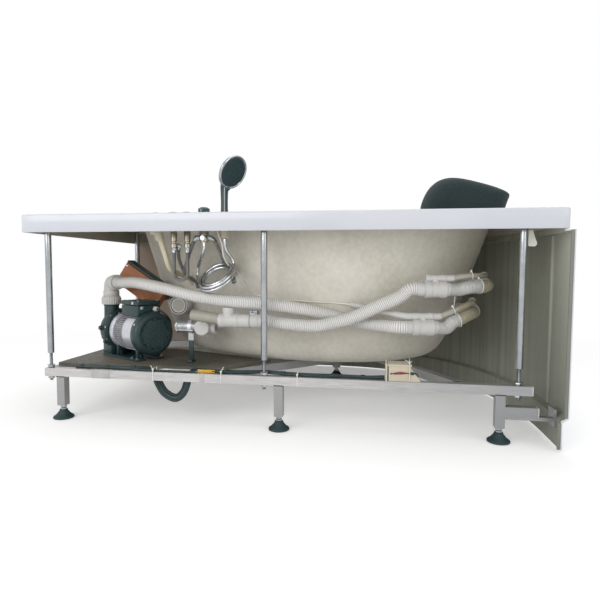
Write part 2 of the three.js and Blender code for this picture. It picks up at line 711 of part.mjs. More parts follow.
// Space taken by other rails, grown by the clearance and closed up, for mitred ends
function railSpace(start, end) {
  const dx = end[0] - start[0];
  const dy = end[1] - start[1];
  const width = tube.size + 2 * gap;
  const geometry = block(-width, -width / 2, -width / 2, Math.hypot(dx, dy) + 2 * width, width, width);
  geometry.rotateZ(Math.atan2(dy, dx));
  return solidOf(moved(geometry, start[0], start[1], frame.top - tube.size / 2));
}

const leftSpace = railSpace([sideX, sideStart], [sideX, sideRail.end]);
const nearSpace = railSpace([frame.left, railY], [frameRight, railY]);
const rightSpace = railSpace([angledRailX, railY], onAngledRail(angledRail.length));
const farStart = [sideX, sideRail.end - farRail.setBack - tube.size / 2];
const farEnd = onAngledRail(angledRail.length - farRail.setBack - tube.size / 2);
function largestPiece(solid) {
  return solid.decompose().sort((a, b) => b.volume() - a.volume())[0];
}
const farTube = largestPiece(without(between(farStart, farEnd, 0, 0), leftSpace, rightSpace));
add('far_rail', geometryOf(farTube), steel);

const braceEnd = [brace.x + Math.sin(braceLean) * brace.length, railY + Math.cos(braceLean) * brace.length];
const braceTube = largestPiece(without(between([brace.x, railY], braceEnd, 0, 0), nearSpace, rightSpace));
add('cross_brace', geometryOf(braceTube), steel);

const boardTop = frame.top + gap + board.thick;
function makeBoard() {
  const outline = new THREE.Shape();
  outline.moveTo(board.left, board.near);
  outline.lineTo(board.right, board.near);
  outline.lineTo(board.tipX, board.tipY);
  outline.lineTo(board.farX, board.farY);
  outline.lineTo(board.left, board.farY);
  outline.closePath();
  const geometry = new THREE.ExtrudeGeometry(outline, { depth: board.thick, bevelEnabled: false });
  return moved(geometry, 0, 0, frame.top + gap);
}
add('pump_board', makeBoard(), fibreglass);

// Levelling feet: a rubber cone on a stud with its locking nut

function makeFoot(x, y) {
  const nutTop = legs.bottom - gap;
  return moved(turned([
    [0, 0], [foot.radius, 0], [foot.radius, foot.rim], [foot.radius * foot.waistShare, foot.height * foot.waistShare / 2],
    [foot.neck, foot.height - foot.nutHeight], [foot.nut, nutTop - foot.nutHeight], [foot.nut, nutTop],
    [foot.stud, nutTop], [foot.stud, foot.studTop], [0, foot.studTop],
  ], footSides), x, y, 0);
}

const feet = [
  ['foot_near_left', nearLegs[0], railY], ['foot_near_middle', nearLegs[1], railY],
  ['foot_near_right', nearLegs[2], railY], ['foot_far_left', ...farLegLeft], ['foot_far_right', ...farLegRight],
];
for (const [name, x, y] of feet) add(name, makeFoot(x, y), blackRubber);

// Support posts: a tube on a stud that passes through a rail, with a nut each side

function makePost(x, y) {
  const upperNut = frame.top + gap;
  const lowerNut = railBottom - gap - post.nutHeight;
  return moved(turned([
    [0, lowerNut - post.stud], [post.stud, lowerNut - post.stud], [post.stud, lowerNut], [post.nut, lowerNut],
    [post.nut, railBottom - gap], [post.stud, railBottom - gap], [post.stud, upperNut], [post.nut, upperNut],
    [post.nut, upperNut + post.nutHeight], [post.stud, upperNut + post.nutHeight], [post.stud, post.tubeFoot],
    [post.radius, post.tubeFoot], [post.radius, deckUnder - gap], [0, deckUnder - gap],
  ], postSides), x, y, 0);
}

const posts = [
  ['post_near_left', post.left, railY], ['post_near_middle', post.middle, railY], ['post_near_right', postRight, railY],
  ['post_far_left', sideX, farPost.y],
];
for (const [name, x, y] of posts) add(name, makePost(x, y), galvanised);

// Slotted strap and end plate that reach from the bracket to the apron

function makeStrap() {
  const top = bracket.top - tube.size - gap;
  const start = nearLegs[2] + tube.size / 2 + gap;
  const plateRight = rim.length + skirt.proud - skirt.stepIn - skirt.wall - gap;
  const strap = solidOf(block(
    start, railY - bracket.strapWidth / 2, top - bracket.strapThick,
    plateRight - start - bracket.plateThick / 2, bracket.strapWidth, bracket.strapThick,
  ));
  const slot = solidOf(block(
    start + bracket.strapWidth, railY - bracket.strapThick / 2, top - bracket.strapThick - overrun,
    bracket.reach / 2, bracket.strapThick, bracket.strapThick + 2 * overrun,
  ));
  const plate = solidOf(block(
    plateRight - bracket.plateThick, railY - bracket.plateWidth / 2, top - bracket.strapThick - bracket.plateBelow,
    bracket.plateThick, bracket.plateWidth, bracket.plateHeight,
  ));
  return joined(strap.subtract(slot), plate);
}

add('bracket_strap', geometryOf(makeStrap()), steel);

// Pump: built along its own axis, then turned into place

function alongPump(geometry) {
  geometry.rotateZ(pumpTurn);
  return moved(geometry, pump.x, pump.y, pump.z);
}

// Round bar along the pump's axis
function pumpBar(from, to, radius, sides = 18) {
  return rod(new THREE.Vector3(from, 0, 0), new THREE.Vector3(to, 0, 0), radius, sides);
}

function makeMotor() {
  const outline = new THREE.Shape();
  for (let k = 0; k < motorFins; k += 1) {
    const step = fullTurn / motorFins;
    const corners = [
      [k * step, motor.radius - motor.fin], [(k + 0.5) * step, motor.radius - motor.fin],
      [(k + 0.56) * step, motor.radius], [(k + 0.94) * step, motor.radius],
    ];
    for (const [angle, radius] of corners) {
      const [x, y] = [radius * Math.cos(angle), radius * Math.sin(angle)];
      if (k === 0 && angle === 0) outline.moveTo(x, y);
      else outline.lineTo(x, y);
    }
  }
  outline.closePath();
  const fins = new THREE.ExtrudeGeometry(outline, { depth: motor.length, bevelEnabled: false });
  fins.rotateY(quarterTurn);
  moved(fins, motor.start, 0, 0);
  return without(
    solidOf(fins),
    solidOf(pumpBar(motor.start - overrun, motor.start + motor.length + overrun, motor.shaft + runGap)),
  );
}

function makeFanCover() {
  const cup = without(
    solidOf(pumpBar(0, fanCover.length, fanCover.radius, 15)),
    solidOf(pumpBar(fanCover.wall, fanCover.length + overrun, fanCover.radius - fanCover.wall, 15)),
  );
  const collar = without(
    solidOf(pumpBar(fanCover.length - fanCover.wall, fanCover.length, fanCover.radius, 15)),
    solidOf(pumpBar(0, fanCover.length + overrun, motor.radius - motor.fin - fanCover.wall, 15)),
  );
  const holes = [];
  for (let ring = 0; ring < 2; ring += 1) {
    const radius = fanCover.firstRing + ring * fanCover.ringStep;
    const count = 4 + 3 * ring;
    for (let k = 0; k < count; k += 1) {
      const angle = (k * fullTurn) / count;
      const hole = pumpBar(-overrun, fanCover.wall + overrun, fanCover.hole, 5);
      holes.push(solidOf(moved(hole, 0, radius * Math.cos(angle), radius * Math.sin(angle))));
    }
  }
  return without(joined(cup, collar), ...holes);
}

const voluteEnd = volute.start + volute.length;
const baseLow = boardTop + gap - pump.z;
function neckBar(from, to, radius) {
  return bar(volute.start + volute.length / 2, volute.neckOut, from, to, radius, 16);
}

function makeVolute() {
  const casing = joined(
    solidOf(pumpBar(volute.start, voluteEnd, volute.radius, 24)),
    solidOf(neckBar(0, volute.neckTop - pump.z, volute.neck)),
    solidOf(pumpBar(voluteEnd - overrun, voluteEnd + voluteInlet.length, voluteInlet.radius)),
  );
  const plate = solidOf(block(
    pumpBase.from, -pumpBase.half, baseLow, voluteEnd - pumpBase.from - volute.wall, pumpBase.half * 2, pumpBase.plate,
  ));
  const webs = [pumpBase.from + pumpBase.web, motor.start + motor.length - pumpBase.web * 2].map((x) => (
    solidOf(block(x, -pumpBase.webHalf, baseLow, pumpBase.web, pumpBase.webHalf * 2, -baseLow - motor.radius / 2))
  ));
  const saddle = solidOf(block(
    volute.start, -pumpBase.half, baseLow, volute.length - volute.wall, pumpBase.half * 2, volute.radius / 2,
  ));
  const motorSpace = solidOf(pumpBar(fanCover.length - gap, volute.start - gap, roundSpace(motor.radius + 2 * gap)));
  const coverSpace = solidOf(pumpBar(-overrun, fanCover.length + gap, roundSpace(fanCover.radius + gap)));
  return without(
    joined(casing, plate, ...webs, saddle),
    motorSpace,
    coverSpace,
    solidOf(pumpBar(volute.start + volute.wall, voluteEnd - volute.wall, volute.cavity)),
    solidOf(pumpBar(volute.start - overrun, volute.start + volute.wall + overrun, motor.shaft + runGap)),
    solidOf(pumpBar(voluteEnd - volute.wall - overrun, voluteEnd + voluteInlet.length + overrun, voluteInlet.bore)),
    solidOf(neckBar(0, volute.neckTop - pump.z + overrun, volute.neckBore)),
  );
}

const impellerStart = volute.start + volute.wall + runGap * 4;
function bladedWheel(start, wheel, bladeLength) {
  const disc = solidOf(pumpBar(start, start + wheel.disc, wheel.radius, 14));
  const hub = solidOf(pumpBar(start, start + wheel.depth, wheel.hub, 12));
  const blades = [];
  for (let k = 0; k < bladeCount; k += 1) {
    const blade = block(start, wheel.hub / 2, -wheel.blade / 2, wheel.depth, bladeLength - wheel.hub / 2, wheel.blade);
    blades.push(solidOf(blade.rotateX((k * fullTurn) / bladeCount)));
  }
  const bore = solidOf(pumpBar(start - overrun, start + wheel.depth + overrun, motor.shaft + gap, 12));
  return joined(disc, hub, ...blades).subtract(bore);
}

const shaftEnd = impellerStart + impeller.depth;
add('motor_body', alongPump(geometryOf(makeMotor())), aluminium);
add('fan_cover', alongPump(geometryOf(makeFanCover())), blackPlastic);
add('pump_volute', alongPump(geometryOf(makeVolute())), blackPlastic);
add('motor_shaft', alongPump(pumpBar(coolingFan.start - gap, shaftEnd, motor.shaft, 12)), steel);
add('impeller', alongPump(geometryOf(bladedWheel(impellerStart, impeller, impeller.radius))), blackPlastic);
add('cooling_fan', alongPump(geometryOf(bladedWheel(coolingFan.start, coolingFan, coolingFan.radius))), blackPlastic);

function makeJunctionBox() {
  const low = motor.radius - motor.fin;
  const box = solidOf(block(
    junctionBox.start, -junctionBox.width / 2, low, junctionBox.length, junctionBox.width, junctionBox.height + motor.fin,
  ));
  const gland = solidOf(rod(
    new THREE.Vector3(junctionBox.start - junctionBox.glandLength, -junctionBox.width / 4, low + junctionBox.height / 2),
    new THREE.Vector3(junctionBox.start + overrun, -junctionBox.width / 4, low + junctionBox.height / 2),
    junctionBox.gland, 12,
  ));
  return without(
    joined(box, gland),
    solidOf(pumpBar(fanCover.length + gap, volute.start, roundSpace(motor.radius + 2 * gap))),
    solidOf(pumpBar(-overrun, fanCover.length + gap, roundSpace(fanCover.radius + gap))),
  );
}
add('terminal_box', alongPump(geometryOf(makeJunctionBox())), blackPlastic);

// Outlet union, elbow and the pipes

const neckMiddle = new THREE.Vector3(volute.start + volute.length / 2, volute.neckOut, 0)
  .applyAxisAngle(new THREE.Vector3(0, 0, 1), pumpTurn).add(new THREE.Vector3(pump.x, pump.y, 0));

function makeUnion() {
  const low = volute.neckTop - union.below;
  const body = solidOf(bar(neckMiddle.x, neckMiddle.y, low, low + union.height, union.radius, 16));
  const bore = bar(
    neckMiddle.x, neckMiddle.y, low - overrun, low + union.height + overrun, roundSpace(volute.neck + gap, 16), 16,
  );
  return body.subtract(solidOf(bore));
}
add('union_nut', geometryOf(makeUnion()), whitePipe);

const elbowZ = volute.neckTop + elbow.rise;
const elbowCorner = new THREE.Vector3(neckMiddle.x, neckMiddle.y, elbowZ);
const elbowOut = new THREE.Vector3(Math.cos(elbowTurn), Math.sin(elbowTurn), 0);
const elbowMouth = elbowCorner.clone().addScaledVector(elbowOut, elbow.reach);

function makeElbow() {
  const low = new THREE.Vector3(neckMiddle.x, neckMiddle.y, volute.neckTop + gap);
  const body = joined(
    solidOf(rod(low, elbowCorner, elbow.pipe)),
    solidOf(moved(new THREE.SphereGeometry(elbow.pipe, 12, 6), elbowCorner.x, elbowCorner.y, elbowCorner.z)),
    solidOf(rod(elbowCorner, elbowMouth, elbow.branch)),
  );
  const under = low.clone().add(new THREE.Vector3(0, 0, -overrun));
  const past = elbowMouth.clone().addScaledVector(elbowOut, overrun);
  return without(body, solidOf(rod(under, elbowCorner, elbow.bore, 10)), solidOf(rod(elbowCorner, past, elbow.bore, 10)));
}
add('discharge_elbow', geometryOf(makeElbow()), whitePipe);

// Jets in the near wall and in the right end of the basin

for (const [name, place, aim, trimmed] of jetPlaces) add(name, geometryOf(jetBody(place, aim, trimmed)), whitePipe);
add('upper_jet_nozzle', geometryOf(jetNozzle(upperJet, nearJetAim)), chrome);
add('lower_jet_nozzle', geometryOf(jetNozzle(lowerJet, nearJetAim)), chrome);

const sideOf = (place, aim, side, up) => jetFrame(place, aim).at(side, 0, up);
const waterEnd = jet.half + gap;
const airEnd = jetAir.half + gap;

// Ends of a hose that meet a fitting squarely: a point at the mouth and one a diameter out
function mouth(place, aim, side, up, out) {
  return [sideOf(place, aim, side, up), sideOf(place, aim, side + Math.sign(side) * out, up)];
}

function hoseBetween(start, route, end, size) {
  return ribbedHose([...start, ...vectors(route), ...end.slice().reverse()], size);
}

const elbowStart = [
  elbowMouth.clone().addScaledVector(elbowOut, gap),
  elbowMouth.clone().addScaledVector(elbowOut, gap + hose.radius * 2),
];
const hoseLead = hose.radius * 2;
const airLead = airHose.radius * 2;
const lowerLeft = mouth(lowerJet, nearJetAim, -waterEnd, 0, hoseLead);
const lowerRight = mouth(lowerJet, nearJetAim, waterEnd, 0, hoseLead);
const upperLeft = mouth(upperJet, nearJetAim, -waterEnd, 0, hoseLead);
const upperRight = mouth(upperJet, nearJetAim, waterEnd, 0, hoseLead);
add('jet_hose_a', hoseBetween(elbowStart, hoseARoute, lowerLeft, hose), whitePipe);
const teeRight = [
  new THREE.Vector3(pipeTee.x + pipeTee.right + gap, pipeTee.y, pipeTee.z),
  new THREE.Vector3(pipeTee.x + pipeTee.right + gap + hoseLead, pipeTee.y, pipeTee.z),
];
add('jet_hose_b', hoseBetween(teeRight, hoseBRoute, upperLeft, hose), whitePipe);
const upperEnd = mouth(upperEndJet, endJetAim, -waterEnd, 0, hoseLead);
const lowerEnd = mouth(lowerEndJet, endJetAim, -waterEnd, 0, hoseLead);
add('upper_tail_hose', hoseBetween(upperRight, upperTailRoute, upperEnd, hose), whitePipe);
add('lower_tail_hose', hoseBetween(lowerRight, lowerTailRoute, lowerEnd, hose), whitePipe);
const airLower = mouth(lowerJet, nearJetAim, -airEnd, jetAir.rise, airLead);
const airUpper = mouth(upperJet, nearJetAim, airEnd, jetAir.rise, airLead);
const airLowerRight = mouth(lowerJet, nearJetAim, airEnd, jetAir.rise, airLead);
const airLowerEnd = mouth(lowerEndJet, endJetAim, -airEnd, jetAir.rise, airLead);
const airUpperEnd = mouth(upperEndJet, endJetAim, -airEnd, jetAir.rise, airLead);
const airSteps = 12;
const lowerAirPoints = [...vectors(lowerAirRoute), ...airLower.slice().reverse()];
const lowerEndAirPoints = [...airLowerRight, ...vectors(lowerEndAirRoute), ...airLowerEnd.slice().reverse()];
const upperAirPoints = [...airUpper, ...vectors(upperAirRoute), ...airUpperEnd.slice().reverse()];
add('lower_air_hose', cordAlong(lowerAirPoints, airHose.radius, airSteps), whitePipe);
add('lower_end_air_hose', cordAlong(lowerEndAirPoints, airHose.radius, airSteps), whitePipe);
add('upper_air_hose', cordAlong(upperAirPoints, airHose.radius, airSteps), whitePipe);

function makePipeTee() {
  const at = (along, up) => new THREE.Vector3(pipeTee.x + along, pipeTee.y, pipeTee.z + up);
  const body = joined(
    solidOf(rod(at(-pipeTee.left, pipeTee.leftRise), at(0, 0), pipeTee.pipe)),
    solidOf(rod(at(-pipeTee.half, 0), at(pipeTee.half, 0), pipeTee.body)),
    solidOf(rod(at(pipeTee.half, 0), at(pipeTee.right, 0), pipeTee.body - gap * 2)),
    solidOf(rod(at(0, 0), at(0, pipeTee.stubRise), pipeTee.stub)),
  );
  const slope = pipeTee.leftRise / pipeTee.left;
  const leftBore = solidOf(rod(
    at(-pipeTee.left - overrun, pipeTee.leftRise + overrun * slope), at(0, 0), pipeTee.bore, 8,
  ));
  const rightBore = solidOf(rod(at(-pipeTee.bore / 2, 0), at(pipeTee.right + overrun, 0), pipeTee.bore, 8));
  return without(body, leftBore, rightBore);
}
add('pipe_tee', geometryOf(makePipeTee()), whitePipe);

function makeHeater() {
  const standLow = boardTop + gap;
  const at = (along, forward) => new THREE.Vector3(heater.x + along, heater.y + forward, heater.z);
  const body = joined(
    solidOf(rod(at(-heater.length / 2, 0), at(heater.length / 2, 0), heater.tube)),
    solidOf(rod(at(heater.length / 2, -heater.capDepth), at(heater.length / 2, heater.capDepth), heater.cap)),
    solidOf(rod(at(heater.length / 2, 0), at(heater.length / 2 + heater.ringLength, 0), heater.ring)),
    solidOf(block(
      heater.x + heater.standX, heater.y - heater.standThick / 2, standLow,
      heater.standWidth, heater.standThick, heater.z - heater.bore - standLow - gap,
    )),
    solidOf(block(
      heater.x + heater.standX, heater.y - heater.standFoot / 2, standLow, heater.standWidth, heater.standFoot, heater.standThick,
    )),
  );
  const bore = solidOf(rod(at(-heater.length / 2 - overrun, 0), at(heater.length, 0), heater.bore, 10));
  return body.subtract(bore);
}
add('inline_heater', geometryOf(makeHeater()), steel);

function makeWaste() {
  const at = (forward) => new THREE.Vector3(waste.x, waste.y + forward, waste.z);
  const body = joined(
    solidOf(rod(at(0), at(waste.length), waste.radius, 20)),
    solidOf(rod(at(0), at(waste.collarDepth), waste.collar, 20)),
  ).subtract(outsideSpace);
  return largestPiece(body.subtract(solidOf(rod(at(-overrun), at(waste.collarDepth * 3), waste.bore, 14))));
}
add('waste_outlet', geometryOf(makeWaste()), whitePipe);

// Valves under the deck with their knobs above it

const deckTop = rim.height;

function makeValve(x, radius, bottom) {
  const nutTop = deckUnder - gap;
  const sealTop = deckTop + gap + valve.flangeHeight;
  return joined(
    solidOf(bar(x, fittingsY, bottom, sealTop - gap, Math.min(radius, valve.body))),
    solidOf(bar(x, fittingsY, bottom, nutTop - valve.nutHeight, radius)),
    solidOf(bar(x, fittingsY, nutTop - valve.nutHeight, nutTop, valve.nut, 6)),
    solidOf(bar(x, fittingsY, deckTop + gap, sealTop, valve.flange)),
    solidOf(bar(x, fittingsY, sealTop - gap, sealTop + valve.stem, valve.stem, 12)),
  );
}

function makeKnob(x, radius, height) {
  const low = deckTop + gap * 2 + valve.flangeHeight;
  const body = solidOf(bar(x, fittingsY, low, low + height, radius));
  const grips = [];
  for (let k = 0; k < 6; k += 1) {
    const angle = (k * fullTurn) / 6;
    const reach = radius * 1.08;
    const gx = x + reach * Math.cos(angle);
    const gy = fittingsY + reach * Math.sin(angle);
    grips.push(solidOf(bar(gx, gy, low - overrun, low + height + overrun, radius / 6, 8)));
  }
  return without(body, ...grips, solidOf(bar(x, fittingsY, low - overrun, low + valve.stem + gap, valve.stem + gap, 12)));
}

add('hot_valve', geometryOf(makeValve(hotValveX, valve.body, deckTop - valve.drop)), brass);
add('cold_valve', geometryOf(makeValve(coldValveX, valve.body, deckTop - valve.drop)), brass);
const diverterBottom = deckTop - diverter.drop;
const armZ = deckTop - diverter.armDrop;
const arm = solidOf(rod(
  new THREE.Vector3(diverter.x - diverter.armReach, fittingsY, armZ),
  new THREE.Vector3(diverter.x + diverter.armReach, fittingsY, armZ), diverter.arm, 12,
));
add('diverter_valve', geometryOf(joined(makeValve(diverter.x, diverter.body, diverterBottom), arm)), brass);
add('hot_knob', geometryOf(makeKnob(hotValveX, lowKnob.radius, lowKnob.height)), chrome);
add('cold_knob', geometryOf(makeKnob(coldValveX, lowKnob.radius, lowKnob.height)), chrome);
add('diverter_knob', geometryOf(makeKnob(diverter.x, diverter.knob, diverter.knobHeight)), chrome);

const buttonUnder = deckTop + airButton.travel + gap;
add('air_button', geometryOf(joined(
  solidOf(bar(airButton.x, fittingsY, deckTop - airButton.depth, buttonUnder + gap, airButton.radius - runGap)),
  solidOf(bar(airButton.x, fittingsY, buttonUnder, buttonUnder + airButton.capHeight, airButton.cap)),
)), chrome);

// Hand shower standing in its sleeve

const sleeveBottom = deckTop - sleeve.drop;
function makeSleeve() {
  const nutTop = deckUnder - gap;
  const body = joined(
    solidOf(bar(shower.x, shower.y, sleeveBottom, deckTop + overrun, sleeve.radius)),
    solidOf(bar(shower.x, shower.y, nutTop - valve.nutHeight, nutTop, sleeve.flange)),
    solidOf(bar(shower.x, shower.y, deckTop + gap, deckTop + gap + sleeve.flangeHeight, sleeve.flange)),
  );
  const bore = solidOf(bar(shower.x, shower.y, deckTop - shower.dip - gap, deckTop + overrun * 2, shower.handle - 1 + gap));
  const hoseBore = solidOf(bar(shower.x, shower.y, sleeveBottom - overrun, deckTop, showerHose.radius));
  return without(body, bore, hoseBore);
}
add('shower_sleeve', geometryOf(makeSleeve()), cream);

function makeShower() {
  const top = deckTop + shower.rise;
  const headZ = top + shower.headRise;
  const low = deckTop - shower.dip;
  const sleeveTop = deckTop + gap + sleeve.flangeHeight;
  const dipped = solidOf(bar(0, 0, low, sleeveTop + gap * 2, shower.handle - 1));
  const handle = solidOf(turned([
    [0, sleeveTop + gap], [shower.handle, sleeveTop + gap], [shower.handle * 0.86, sleeveTop + shower.dip],
    [shower.handle * 0.92, top - shower.dip], [shower.handle * 1.05, top], [0, top + shower.handle],
  ]));
  const head = turned([
    [0, -shower.headThick / 2], [shower.head * 0.45, -shower.headThick * 0.45], [shower.head * 0.85, 0],
    [shower.head, shower.headThick * 0.3], [shower.head * 0.96, shower.headThick * 0.5], [0, shower.headThick * 0.5],
  ]);
  head.rotateY(showerTilt);
  moved(head, shower.headOut, 0, headZ);
  const neck = solidOf(rod(
    new THREE.Vector3(0, 0, top), new THREE.Vector3(shower.headOut * 0.7, 0, top + shower.headRise * 0.95),
    shower.nut,
  ));
  const geometry = geometryOf(joined(dipped, handle, neck, solidOf(head)));
  geometry.rotateZ(showerTurn);
  return moved(geometry, shower.x, shower.y, 0);
}
add('hand_shower', makeShower(), chrome);

// Shower hose: a drop out of the sleeve, then loops in two layers and a rise to the diverter

const underDeck = (route) => vectors(route.map(([x, y, drop]) => [x, y, deckTop - drop]));
const straightUp = new THREE.Vector3(0, 0, 1);
const levelAcross = new THREE.Vector3(0, 1, 0);
const loopAxis = new THREE.Vector3(0, -Math.sin(loopTilt), Math.cos(loopTilt)).applyAxisAngle(levelAcross, -loopRoll);
const loopAcross = new THREE.Vector3(1, 0, 0).applyAxisAngle(levelAcross, -loopRoll);
const loopUp = new THREE.Vector3().crossVectors(loopAxis, loopAcross);

// Spirals in over the first layer, steps down in the half turn where it reverses, and spirals out
function loopPoint(turns) {
  const angle = -turns * fullTurn;
  const fromMiddle = Math.abs(turns - layerTurns);
  const radius = showerHose.loopRadius - showerHose.step * (layerTurns - fromMiddle);
  const drop = THREE.MathUtils.smoothstep(turns, layerTurns - 1 / 4, layerTurns + 1 / 4) * showerHose.step;
  return new THREE.Vector3(showerHose.x, showerHose.y, deckTop - showerHose.drop)
    .addScaledVector(loopAcross, radius * Math.cos(angle))
    .addScaledVector(loopUp, radius * Math.sin(angle))
    .addScaledVector(loopAxis, -drop);
}

const dropStart = new THREE.Vector3(shower.x, shower.y, sleeveBottom - gap);
const loopStart = loopPoint(0);
const loopHeading = new THREE.Vector3().subVectors(loopPoint(1 / loopSteps), loopStart).normalize();
const dropEnd = loopStart.clone().addScaledVector(loopHeading, -gap);
const dropLead = loopStart.clone().addScaledVector(loopHeading, -showerHose.radius * 2 - gap);
const dropSteps = 10;
add('shower_hose_drop', cordAlong([dropStart, ...underDeck(dropRoute), dropLead, dropEnd], showerHose.radius, dropSteps), chrome);

function makeLoops() {
  const points = [];
  for (let i = 0; i <= 2 * layerTurns * loopSteps; i += 1) points.push(loopPoint(i / loopSteps));
  const woundCount = points.length;
  const riseEnd = new THREE.Vector3(diverter.x, fittingsY, diverterBottom - gap);
  const from = points[points.length - 1];
  const leaving = new THREE.Vector3().subVectors(from, points[points.length - 2]).normalize();
  const lead = from.clone().addScaledVector(leaving, showerHose.radius * 3);
  const rise = new THREE.CatmullRomCurve3([from, lead, ...underDeck(riseRoute), riseEnd], false, 'centripetal');
  const riseSteps = 12;
  points.push(...rise.getSpacedPoints(riseSteps).slice(1));
  const across = loopAxis.clone();
  const rings = points.map((point, i) => {
    const before = points[Math.max(0, i - 1)];
    const after = points[Math.min(points.length - 1, i + 1)];
    const tangent = new THREE.Vector3().subVectors(after, before).normalize();
    if (i === 0) tangent.copy(loopHeading);
    if (i === points.length - 1) tangent.copy(straightUp);
    across.addScaledVector(tangent, -across.dot(tangent)).normalize();
    return ringAt(point, tangent, across, showerHose.radius, loopSides);
  });
  let least = Infinity;
  for (let i = 0; i < woundCount; i += 1) {
    for (let j = i + loopSteps / 2; j < points.length; j += 1) least = Math.min(least, points[i].distanceTo(points[j]));
  }
  console.log(`shower hose: least gap between loops ${(least - 2 * showerHose.radius).toFixed(2)} mm`);
  return skin(rings, points[0], points[points.length - 1]);
}
add('shower_hose_coil', makeLoops(), chrome);

function makeLink() {
  const low = deckTop - linkHose.drop;
  const top = deckTop - valve.drop - gap;
  const half = (coldValveX - hotValveX) / 2;
  const middle = hotValveX + half;
  const points = [new THREE.Vector3(hotValveX, fittingsY, top), new THREE.Vector3(hotValveX, fittingsY, low + 2 * half)];
  for (let k = 0; k <= 6; k += 1) {
    const angle = halfTurn + (k * halfTurn) / 6;
    points.push(new THREE.Vector3(middle + half * Math.cos(angle), fittingsY, low + half + half * Math.sin(angle)));
  }
  points.push(new THREE.Vector3(coldValveX, fittingsY, low + 2 * half), new THREE.Vector3(coldValveX, fittingsY, top));
  return cordAlong(points, linkHose.radius, 18, 6);
}
add('link_hose', makeLink(), chrome);

// Control box, light box and wiring

function makeControlBox() {
  const box = joined(
    solidOf(block(-controlBox.width / 2, 0, -controlBox.height / 2, controlBox.width, controlBox.depth, controlBox.height)),
    solidOf(block(
      -controlBox.width / 2 - controlBox.lid / 2, controlBox.lid, controlBox.height / 2 - controlBox.lid,
      controlBox.width + controlBox.lid, controlBox.depth, controlBox.lid * 2,
    )),
    solidOf(block(
      controlBox.padFrom, controlBox.depth - overrun, -controlBox.pad / 2, controlBox.pad, controlBox.padReach, controlBox.pad,
    )),
  );
  const geometry = geometryOf(box);
  geometry.rotateY(-controlTilt);
  moved(geometry, controlBox.x, controlBox.y - controlBox.depth, pump.z + volute.radius + controlBox.lift);
  return largestPiece(solidOf(geometry).subtract(outsideSpace));
}
add('control_box', geometryOf(makeControlBox()), brown);

function makeLightBox() {
  const low = frame.top + gap;
  const body = solidOf(block(lightBox.x, frame.inset, low, lightBox.width, lightBox.depth, lightBox.height));
  const lid = solidOf(block(
    lightBox.x - lightBox.lid, frame.inset - lightBox.lid, low + lightBox.height - lightBox.lid,
    lightBox.width + 2 * lightBox.lid, lightBox.depth + 2 * lightBox.lid, lightBox.lid * 2,
  ));
  const ear = solidOf(block(
    lightBox.x + lightBox.width - lightBox.lid, frame.inset + lightBox.lid, low,
    lightBox.ear, tube.size - 2 * lightBox.lid, lightBox.lid,
  ));
  return joined(body, lid, ear);
}
add('light_box', geometryOf(makeLightBox()), cream);

const loomSteps = 36;
add('wiring_loom', cordAlong(vectors(loomRoute), loom.radius, loomSteps, 6), blackRubber);

// Headrest: a crowned pad over the right end of the deck

function makeHeadrest() {
  const base = deckTop - headrest.sink;
  const rings = [];
  const middle = headrestSideShares.reduce((sum, [x, z]) => [sum[0] + x, sum[1] + z], [0, 0])
    .map((total) => total / headrestSideShares.length);
  for (let k = 0; k <= headrestSections; k += 1) {
    const angle = (k / headrestSections - 0.5) * halfTurn * 0.94;
    const across = Math.sin(angle);
    const size = Math.cos(angle) ** 0.42;
    rings.push(headrestSideShares.map(([x, z]) => new THREE.Vector3(
      headrest.x + headrest.width * (middle[0] + (x - middle[0]) * size),
      headrest.y + (headrest.length / 2) * across,
      base + headrest.height * (middle[1] + (z - middle[1]) * size),
    )));
  }
  const pole = (across) => new THREE.Vector3(
    headrest.x + headrest.width * middle[0], headrest.y + across * headrest.length / 2,
    base + headrest.height * middle[1],
  );
  const pad = solidOf(skin(rings, pole(-1), pole(1)));
  const deckSpace = solidOf(block(
    0, 0, base - headrest.height, rim.length, rim.depth, deckTop + gap - base + headrest.height,
  )).subtract(basinInside(gap));
  return largestPiece(pad.subtract(deckSpace));
}
add('headrest', geometryOf(makeHeadrest()), leatherette);

// Drain plug in the basin's floor

function makeDrainPlug() {
  const low = basin.base + rim.wall + gap;
  return joined(
    solidOf(bar(drain.x, drain.y, low, low + drain.capHeight, drain.cap, 20)),
    solidOf(bar(drain.x, drain.y, low - drain.stem, low + gap, drain.hole - runGap)),
  );
}
add('drain_plug', geometryOf(makeDrainPlug()), chrome);

// Origin at the middle of the footprint, on the floor
const extent = new THREE.Box3().setFromObject(bath);
bath.position.set(-(extent.min.x + extent.max.x) / 2, -(extent.min.y + extent.max.y) / 2, -extent.min.z);

export default bath;
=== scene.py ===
# Dressed corner bathtub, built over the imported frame
import math

import bmesh
import bpy
from mathutils import Matrix, Vector


